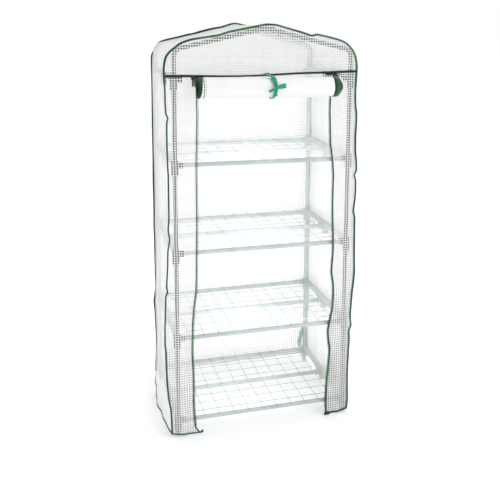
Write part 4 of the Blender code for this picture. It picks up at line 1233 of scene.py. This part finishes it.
def roll_point(phi, x, extra=0.0):
    """A point of the rolled sheet. phi runs from the outside end at the back, down, forward and up."""
    span = (x - ROLL_X0) / (ROLL_X1 - ROLL_X0)
    wob = 1.0 + 0.010 * math.sin(11 * x + phi * 0.7) + 0.007 * math.sin(31 * x - 1.3 * phi)
    sag = -0.0014 * math.sin(math.pi * span)
    k = spiral_scale(phi) * wob
    # the outside turn is drawn in a little where the ribbon holds it
    waist = 1.0 - 0.055 * math.exp(-((x - TIE_X) / 0.022) ** 2)
    ry = (ROLL_RY - 0.0006) * k * waist + extra
    rz = (ROLL_RZ - 0.0006) * k * waist + extra
    return (x, ROLL_Y + ry * math.cos(phi), ROLL_Z + sag - rz * math.sin(phi))


def left_film_edge(phi):
    """Where the plain film of the roll starts: further in at the top than at the foot."""
    up = 0.5 - 0.5 * math.sin(phi)
    return LEFT_IN_LOW + (LEFT_IN_TOP - LEFT_IN_LOW) * up


phis = np.linspace(0, TAU * ROLL_TURNS, 44 * ROLL_TURNS + 1)
xs = np.linspace(0, 1, 71)
verts = np.array([[roll_point(p, left_film_edge(p) + (RIGHT_IN - left_film_edge(p)) * u) for u in xs] for p in phis])
run_phi = np.concatenate([[0], np.cumsum(np.linalg.norm(np.diff(verts[:, 35], axis=0), axis=1))])
uv = np.stack([verts[:, :, 0], np.broadcast_to(run_phi[:, None], verts.shape[:2])], -1)
roll = make("door_rolled_film", verts.reshape(-1, 3), grid_faces(len(phis), len(xs), flip=False), [M_ROLL], "door", "door_film",
            uv=uv.reshape(-1, 2), stands_for=("door_roll",))

SQUASH = []
SQUASH.append(roll)


def roll_tape(name, edges_at, telescope, materials, sign):
    """The door's bound edge, rolled up with it: a strip that winds in, each turn shifted along the roll."""
    count = 40 * ROLL_TURNS + 1
    rows = []
    for p_ in np.linspace(0, TAU * ROLL_TURNS, count):
        done = p_ / (TAU * ROLL_TURNS)
        outer_x, inner_x = edges_at(p_)
        shift = telescope * done + 0.0010 * math.sin(3 * p_)
        a, b = outer_x + shift, inner_x + shift * 0.85
        lift = 0.0010 * (1 if p_ < TAU else 0.6)
        rows.append([roll_point(p_, x, extra) for x, extra in (
            (a, lift * 0.4), ((a * 4 + b) / 5, lift * 1.25), ((a * 2 + b * 3) / 5, lift * 1.4), ((a * 1.5 + b * 3.5) / 5, lift * 1.25), (b, lift * 0.5),
            (b, -lift * 0.2), ((a + b) / 2, -lift * 0.35), (a, -lift * 0.3))])
    rows = np.array(rows)
    n, m = rows.shape[:2]
    length = np.concatenate([[0], np.cumsum(np.linalg.norm(np.diff(rows[:, 0], axis=0), axis=1))])
    uv_ = np.stack(np.meshgrid(length, np.linspace(0, 0.026, m), indexing="ij"), -1).reshape(-1, 2)
    faces = grid_faces(n, m, closed=True, flip=sign > 0)
    faces.append(tuple(range(m)) if sign < 0 else tuple(range(m))[::-1])
    faces.append(tuple(range((n - 1) * m, n * m))[::-1] if sign < 0 else tuple(range((n - 1) * m, n * m)))
    which = [1 if k % m in (3, 4) else 0 for k in range((n - 1) * m)] + [0, 0]  # stitched inner edge
    return make(name, rows.reshape(-1, 3), faces, materials, "door", "door_film", uv=uv_, sharp=60, which=which)


SQUASH.append(roll_tape("door_rolled_edge_left", lambda p_: (LEFT_OUT, left_film_edge(p_) + 0.0015), 0.004, [M_TAPE_DARK, M_TAB], -1))
SQUASH.append(roll_tape("door_rolled_edge_right", lambda p_: (RIGHT_OUT, RIGHT_IN - 0.0015), 0.020, [M_TAPE_ROLL, M_TAB], 1))

# the stretch of door between the header seam and the roll, behind the roll; on the real door it lengthens as the door
# comes down
BLENDS = []
BLEND_TOP, BLEND_LOW = SEAM_Z, ROLL_Z
rows, columns = 61, 61
sheet = np.zeros((rows, columns, 3))
for i in range(rows):
    t = i / (rows - 1)
    for j in range(columns):
        x = -0.2505 + 0.501 * j / (columns - 1)
        z = float(seam_z(x)) * (1 - t) + BLEND_LOW * t
        back_y = FRONT_Y - 0.0016
        wave = 0.0010 * math.sin(TAU * x / 0.085 + 0.6) + 0.0006 * math.sin(TAU * x / 0.031)
        y = back_y * (1 - t) + (ROLL_Y + ROLL_RY + 0.0004) * t - wave * math.sin(math.pi * t)
        sheet[i, j] = (x, y, z)
door_sheet = make("door_hanging_film", sheet.reshape(-1, 3), grid_faces(rows, columns, flip=True), [M_DOOR], "door", "door_film",
                  uv=sheet[:, :, [0, 2]].reshape(-1, 2), rides=False)
BLENDS.append(door_sheet)
for side_name, sign, column in (("left", -1, 0), ("right", 1, -1)):
    edge = sheet[:, column].copy()
    edge[:, 0] += sign * 0.0035
    edge[:, 1] -= 0.0006
    BLENDS.append(binding(f"door_hanging_edge_{side_name}", edge, oval(0.0014, 0.0060, 10, 0.7), (0, 1, 0), M_TAPE, body="door",
                          slot="door_film", rides=False))

# ------------------------------------------------------------------ tie ribbon
def flat_band(path, width_dir, width, thickness, widths=None, columns=5, cup=0.0):
    """A thin ribbon along a path with real thickness. width_dir gives its cross direction at each point."""
    path = np.asarray(path, float)
    n = len(path)
    widths = np.full(n, width) if widths is None else np.asarray(widths)
    across = np.broadcast_to(np.asarray(width_dir, float), path.shape)
    tangent = np.gradient(path, axis=0)
    tangent /= np.linalg.norm(tangent, axis=1)[:, None] + 1e-12
    across = across - (across * tangent).sum(1)[:, None] * tangent
    across /= np.linalg.norm(across, axis=1)[:, None] + 1e-12
    up = np.cross(across, tangent)
    ring = []
    for side in (1, -1):
        places = np.linspace(-0.5, 0.5, columns)
        for q in places if side > 0 else places[::-1]:
            bowed = cup * (0.25 - q * q)
            ring.append(path + across * (q * widths)[:, None] + up * (side * thickness / 2 + bowed))
    rings = np.stack(ring, 1)
    m = rings.shape[1]
    length = np.concatenate([[0], np.cumsum(np.linalg.norm(np.diff(path, axis=0), axis=1))])
    uv_ = np.stack(np.meshgrid(length, np.linspace(0, 2 * width, m), indexing="ij"), -1).reshape(-1, 2)
    faces = grid_faces(n, m, closed=True)
    faces.append(tuple(range(m))[::-1])
    faces.append(tuple(range((n - 1) * m, n * m)))
    return rings.reshape(-1, 3), faces, uv_


def curve(points, count=24):
    """A smooth run through a few points (Catmull-Rom)."""
    p = np.array(points, float)
    p = np.vstack([2 * p[0] - p[1], p, 2 * p[-1] - p[-2]])
    out = []
    spans = len(p) - 3
    for k in range(count):
        u_ = k / (count - 1) * spans
        i = min(int(u_), spans - 1)
        f = u_ - i
        a, b, c, d = p[i:i + 4]
        out.append(0.5 * ((2 * b) + (c - a) * f + (2 * a - 5 * b + 4 * c - d) * f * f + (3 * b - a - 3 * c + d) * f ** 3))
    return np.array(out)


KNOT = np.array([TIE_X + 0.012, ROLL_Y - ROLL_RY - 0.0035, ROLL_Z + 0.002])
strap = [(TIE_X + 0.001, TIE_Y + 0.003, TIE_Z - 0.004), (TIE_X + 0.001, TIE_Y - 0.004, TIE_Z - 0.002)]
for k in range(11):
    a = math.radians(66 + (178 - 66) * k / 10)
    strap.append((TIE_X + 0.001 + 0.011 * (k / 10) ** 1.2, ROLL_Y + (ROLL_RY + 0.0012) * math.cos(a), ROLL_Z + (ROLL_RZ + 0.0014) * math.sin(a)))
strap = curve(strap, 40)
widths = np.interp(np.linspace(0, 1, 40), [0, 0.15, 0.5, 0.85, 1], [0.0165, 0.0170, 0.0175, 0.0150, 0.0105])
ribbon = Shape()
ribbon.add(*flat_band(strap, (1, 0.05, 0.1), 0.017, 0.0007, widths, cup=0.0016))
# the far side of the tie goes on round under the roll and up its back
under = []
for k in range(14):
    a = math.radians(182 + (352 - 182) * k / 13)
    under.append((TIE_X + 0.011 - 0.010 * k / 13, ROLL_Y + (ROLL_RY + 0.0013) * math.cos(a), ROLL_Z - 0.0015 + (ROLL_RZ + 0.0012) * math.sin(a)))
ribbon.add(*flat_band(curve(under, 34), (1, 0, 0), 0.009, 0.0007, cup=0.0012))
# knot: a short wrapped roll of tape
wrap_path = [KNOT + np.array([0.0052 * math.cos(a) * 0.9, -0.0030 - 0.0030 * math.sin(a), 0.0056 * math.sin(a) * 0.35 + 0.0016 * math.cos(2 * a)]) for a in np.linspace(0, TAU * 1.02, 22)]
ribbon.add(*flat_band(wrap_path, (0.15, 0.0, 1.0), 0.0085, 0.0010, cup=-0.0012))
# bow loop to the right
loop = curve([KNOT + (0.002, -0.003, 0.000), KNOT + (0.012, -0.0075, 0.0050), KNOT + (0.024, -0.0080, 0.0075), KNOT + (0.031, -0.0055, 0.0060),
              KNOT + (0.026, -0.0030, 0.0020), KNOT + (0.013, -0.0030, -0.0010), KNOT + (0.002, -0.003, -0.001)], 36)
ribbon.add(*flat_band(loop, (0.15, -0.25, 1.0), 0.011, 0.0007, np.interp(np.linspace(0, 1, 36), [0, 0.25, 0.5, 0.8, 1], [0.006, 0.012, 0.013, 0.010, 0.006]), cup=0.0012))
# tail to the left, tail hanging down with a cut, flared end
tail = curve([KNOT + (-0.001, -0.004, -0.001), KNOT + (-0.009, -0.0065, -0.0060), KNOT + (-0.018, -0.0060, -0.0095), KNOT + (-0.027, -0.0040, -0.0150)], 20)
ribbon.add(*flat_band(tail, (-0.5, -0.2, 1.0), 0.008, 0.0007, np.interp(np.linspace(0, 1, 20), [0, 0.4, 1], [0.006, 0.009, 0.0095]), cup=0.0014))
tail = curve([KNOT + (0.000, -0.004, -0.002), KNOT + (-0.001, -0.0068, -0.0120), KNOT + (-0.004, -0.0065, -0.0200), KNOT + (-0.005, -0.0052, -0.0290)], 20)
ribbon.add(*flat_band(tail, (1.0, -0.2, 0.1), 0.008, 0.0007, np.interp(np.linspace(0, 1, 20), [0, 0.35, 0.65, 1], [0.006, 0.007, 0.009, 0.015]), cup=0.0016))
bow = ribbon.made("tie_ribbon_bow", [M_RIBBON], "tie", "ribbon", sharp=50, stands_for=("tie_ribbon",))

# ------------------------------------------------------------------ inner tie on the rear right post
post = np.array([POST_X, POST_Y, 0.0])
z0 = TIERS[1] - 0.212
inner = curve([post + (-0.0088, -0.002, z0), post + (-0.013, -0.005, z0 - 0.016), post + (-0.021, -0.009, z0 - 0.040), post + (-0.027, -0.012, z0 - 0.064),
               post + (-0.029, -0.013, z0 - 0.087)], 30)
band = Shape()
band.add(*flat_band(inner, (1.0, -0.35, 0.0), 0.013, 0.0008, np.interp(np.linspace(0, 1, 30), [0, 0.3, 0.8, 1], [0.010, 0.016, 0.018, 0.012]), cup=0.002))
band.made("inner_tie_strip", [M_INNER], "cover", "ribbon", sharp=50)

# ------------------------------------------------------------------ zip sliders
for side_name, sign in (("left", -1), ("right", 1)):
    node = f"zip_slider_{side_name}"
    low, high = box(node)
    x, face = (low.x + high.x) / 2, high.y - 0.0028  # it rides on the face of the bound edge
    top = high.z
    shape = Shape()
    # body: a waisted shield with a domed front
    outline = [(-0.0040, -0.0140), (-0.0052, -0.0060), (-0.0044, -0.0010), (-0.0024, 0.0), (0.0024, 0.0), (0.0044, -0.0010),
               (0.0052, -0.0060), (0.0040, -0.0140), (0.0026, -0.0150), (-0.0026, -0.0150)]
    rings = []
    for depth, k in ((0.0, 0.96), (-0.0006, 1.0), (-0.0030, 1.0), (-0.0042, 0.90), (-0.0048, 0.70)):
        rings.append([(x + px * k, face + depth, top - 0.0075 + (pz + 0.0075) * k) for px, pz in outline])
    n = len(outline)
    verts = np.array(rings).reshape(-1, 3)
    faces = grid_faces(len(rings), n, closed=True)
    faces += [tuple(range(n)), tuple(range((len(rings) - 1) * n, len(rings) * n))[::-1]]
    shape.add(verts, faces)
    # bridge: a bent strap on the body
    bridge = curve([(x, face - 0.0040, top - 0.0120), (x, face - 0.0072, top - 0.0105), (x, face - 0.0086, top - 0.0075), (x, face - 0.0072, top - 0.0045),
                    (x, face - 0.0040, top - 0.0030)], 16)
    shape.add(*flat_band(bridge, (1, 0, 0), 0.0040, 0.0011))
    # pull: a long rounded tab with an eye
    pull = curve([(x, face - 0.0078, top - 0.0078), (x, face - 0.0086, top - 0.0120), (x, face - 0.0088, top - 0.0240), (x, face - 0.0082, top - 0.0365)], 18)
    shape.add(*flat_band(pull, (1, 0, 0), 0.0080, 0.0014, np.interp(np.linspace(0, 1, 18), [0, 0.08, 0.2, 0.85, 0.95, 1], [0.0030, 0.0044, 0.0050, 0.0062, 0.0056, 0.0036])))
    obj = shape.made(f"{node}_detail", [M_SLIDER], f"zip_{side_name}", "zip_plastic", sharp=35, stands_for=(node,))

# ------------------------------------------------------------------ door and ribbon pieces: transforms baked, meshes made their own
for obj in BLENDS:
    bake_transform(obj)
for obj in SQUASH:
    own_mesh(obj)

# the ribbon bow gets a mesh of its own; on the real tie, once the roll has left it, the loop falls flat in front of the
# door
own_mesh(bow)

# ------------------------------------------------------------------ stage, light, camera
floor_mesh = bpy.data.meshes.new("floor")
floor_mesh.from_pydata([(-30, -30, 0), (30, -30, 0), (30, 30, 0), (-30, 30, 0)], [], [(0, 1, 2, 3)])
floor = bpy.data.objects.new("floor", floor_mesh)
floor.location.z = -0.0004
scene.collection.objects.link(floor)
t = Tree("floor_painted_contact_shadow")
t.set(color=(0.80, 0.80, 0.80), rough=0.9, spec=0.05)
x_, y_, z_ = t.parts(t.coord.outputs["Object"])
away_ = t.math("SQRT", t.math("ADD", t.math("MULTIPLY", x_, x_), t.math("MULTIPLY", y_, y_)))
t.bsdf.inputs["Emission Color"].default_value = (1, 1, 1, 1)
# emission is lower under the object than around it: a painted contact shadow on the floor
t.put(t.bsdf.inputs["Emission Strength"], t.ramp(away_, 0.30, 0.66, 0.27, 0.46))
floor_mesh.materials.append(t.mat)

world = bpy.data.worlds.new("studio")
scene.world = world
world.use_nodes = True
nt = world.node_tree
nt.nodes.clear()
out = nt.nodes.new("ShaderNodeOutputWorld")
seen_sky = nt.nodes.new("ShaderNodeBackground")
seen_sky.inputs[0].default_value = (1, 1, 1, 1)
seen_sky.inputs[1].default_value = 1.0
soft_sky = nt.nodes.new("ShaderNodeBackground")
soft_sky.inputs[0].default_value = (0.99, 0.992, 1.0, 1)
soft_sky.inputs[1].default_value = 0.80
path_node = nt.nodes.new("ShaderNodeLightPath")
mix = nt.nodes.new("ShaderNodeMixShader")
nt.links.new(path_node.outputs["Is Camera Ray"], mix.inputs[0])
nt.links.new(soft_sky.outputs[0], mix.inputs[1])
nt.links.new(seen_sky.outputs[0], mix.inputs[2])
nt.links.new(mix.outputs[0], out.inputs[0])


def area_light(name, where, target, size, power, colour=(1, 1, 1)):
    data = bpy.data.lights.new(name, "AREA")
    data.shape, data.size, data.energy, data.color = "DISK", size, power, colour
    obj = bpy.data.objects.new(name, data)
    scene.collection.objects.link(obj)
    obj.location = where
    obj.rotation_euler = (Vector(target) - Vector(where)).to_track_quat("-Z", "Y").to_euler()
    return obj


area_light("key", (2.6, -2.6, 3.0), (0, 0, 0.8), 2.4, 46, (1.0, 0.995, 0.985))
area_light("top", (0.3, 0.4, 4.2), (0, 0, 0.9), 3.0, 22)
fill = area_light("doorway_fill", (0, FRONT_Y + MID_Y + 0.03, 0.70 + LIFT), (0, 1, 0.70 + LIFT), 0.46, 2.2)
fill.data.shape, fill.data.size_y = "RECTANGLE", 1.15
fill.visible_camera = fill.visible_glossy = False

scene.view_settings.view_transform = "Standard"
scene.view_settings.look = "None"

camera_data = bpy.data.cameras.new("camera")
camera_data.sensor_width = 36.0
camera_data.lens = 53.84
SHIFTS = {"shift_x": -0.0784, "shift_y": -0.1856}
camera_data.clip_start, camera_data.clip_end = 0.05, 100
camera = bpy.data.objects.new("camera", camera_data)
scene.collection.objects.link(camera)
yaw, pitch, roll_angle = 0.305877, 0.176779, 0.0136342
ahead = Vector((math.sin(yaw) * math.cos(pitch), math.cos(yaw) * math.cos(pitch), -math.sin(pitch)))
right0 = Vector((math.cos(yaw), -math.sin(yaw), 0))
up0 = right0.cross(ahead)
right_v = math.cos(roll_angle) * right0 + math.sin(roll_angle) * up0
up_v = -math.sin(roll_angle) * right0 + math.cos(roll_angle) * up0
matrix = Matrix((right_v, up_v, -ahead)).transposed().to_4x4()
matrix.translation = Vector((-0.7166, -2.7983 + MID_Y, 1.5329 + LIFT))
camera.matrix_world = matrix
scene.camera = camera
# the off-centre framing belongs to this one viewpoint: moved elsewhere, the camera is centred again
for channel, amount in SHIFTS.items():
    curve_ = camera_data.driver_add(channel)
    curve_.driver.type = "SUM"
    place = curve_.driver.variables.new()
    place.type = "TRANSFORMS"
    place.targets[0].id = camera
    place.targets[0].transform_type = "LOC_X"
    place.targets[0].transform_space = "WORLD_SPACE"
    for m in list(curve_.modifiers):
        curve_.modifiers.remove(m)
    while len(curve_.keyframe_points):
        curve_.keyframe_points.remove(curve_.keyframe_points[0])
    for at_x, value in ((-0.018, 0.0), (-0.006, amount), (0.006, amount), (0.018, 0.0)):
        key = curve_.keyframe_points.insert(matrix.translation.x + at_x, value)
        key.interpolation = "LINEAR"
    curve_.extrapolation = "CONSTANT"
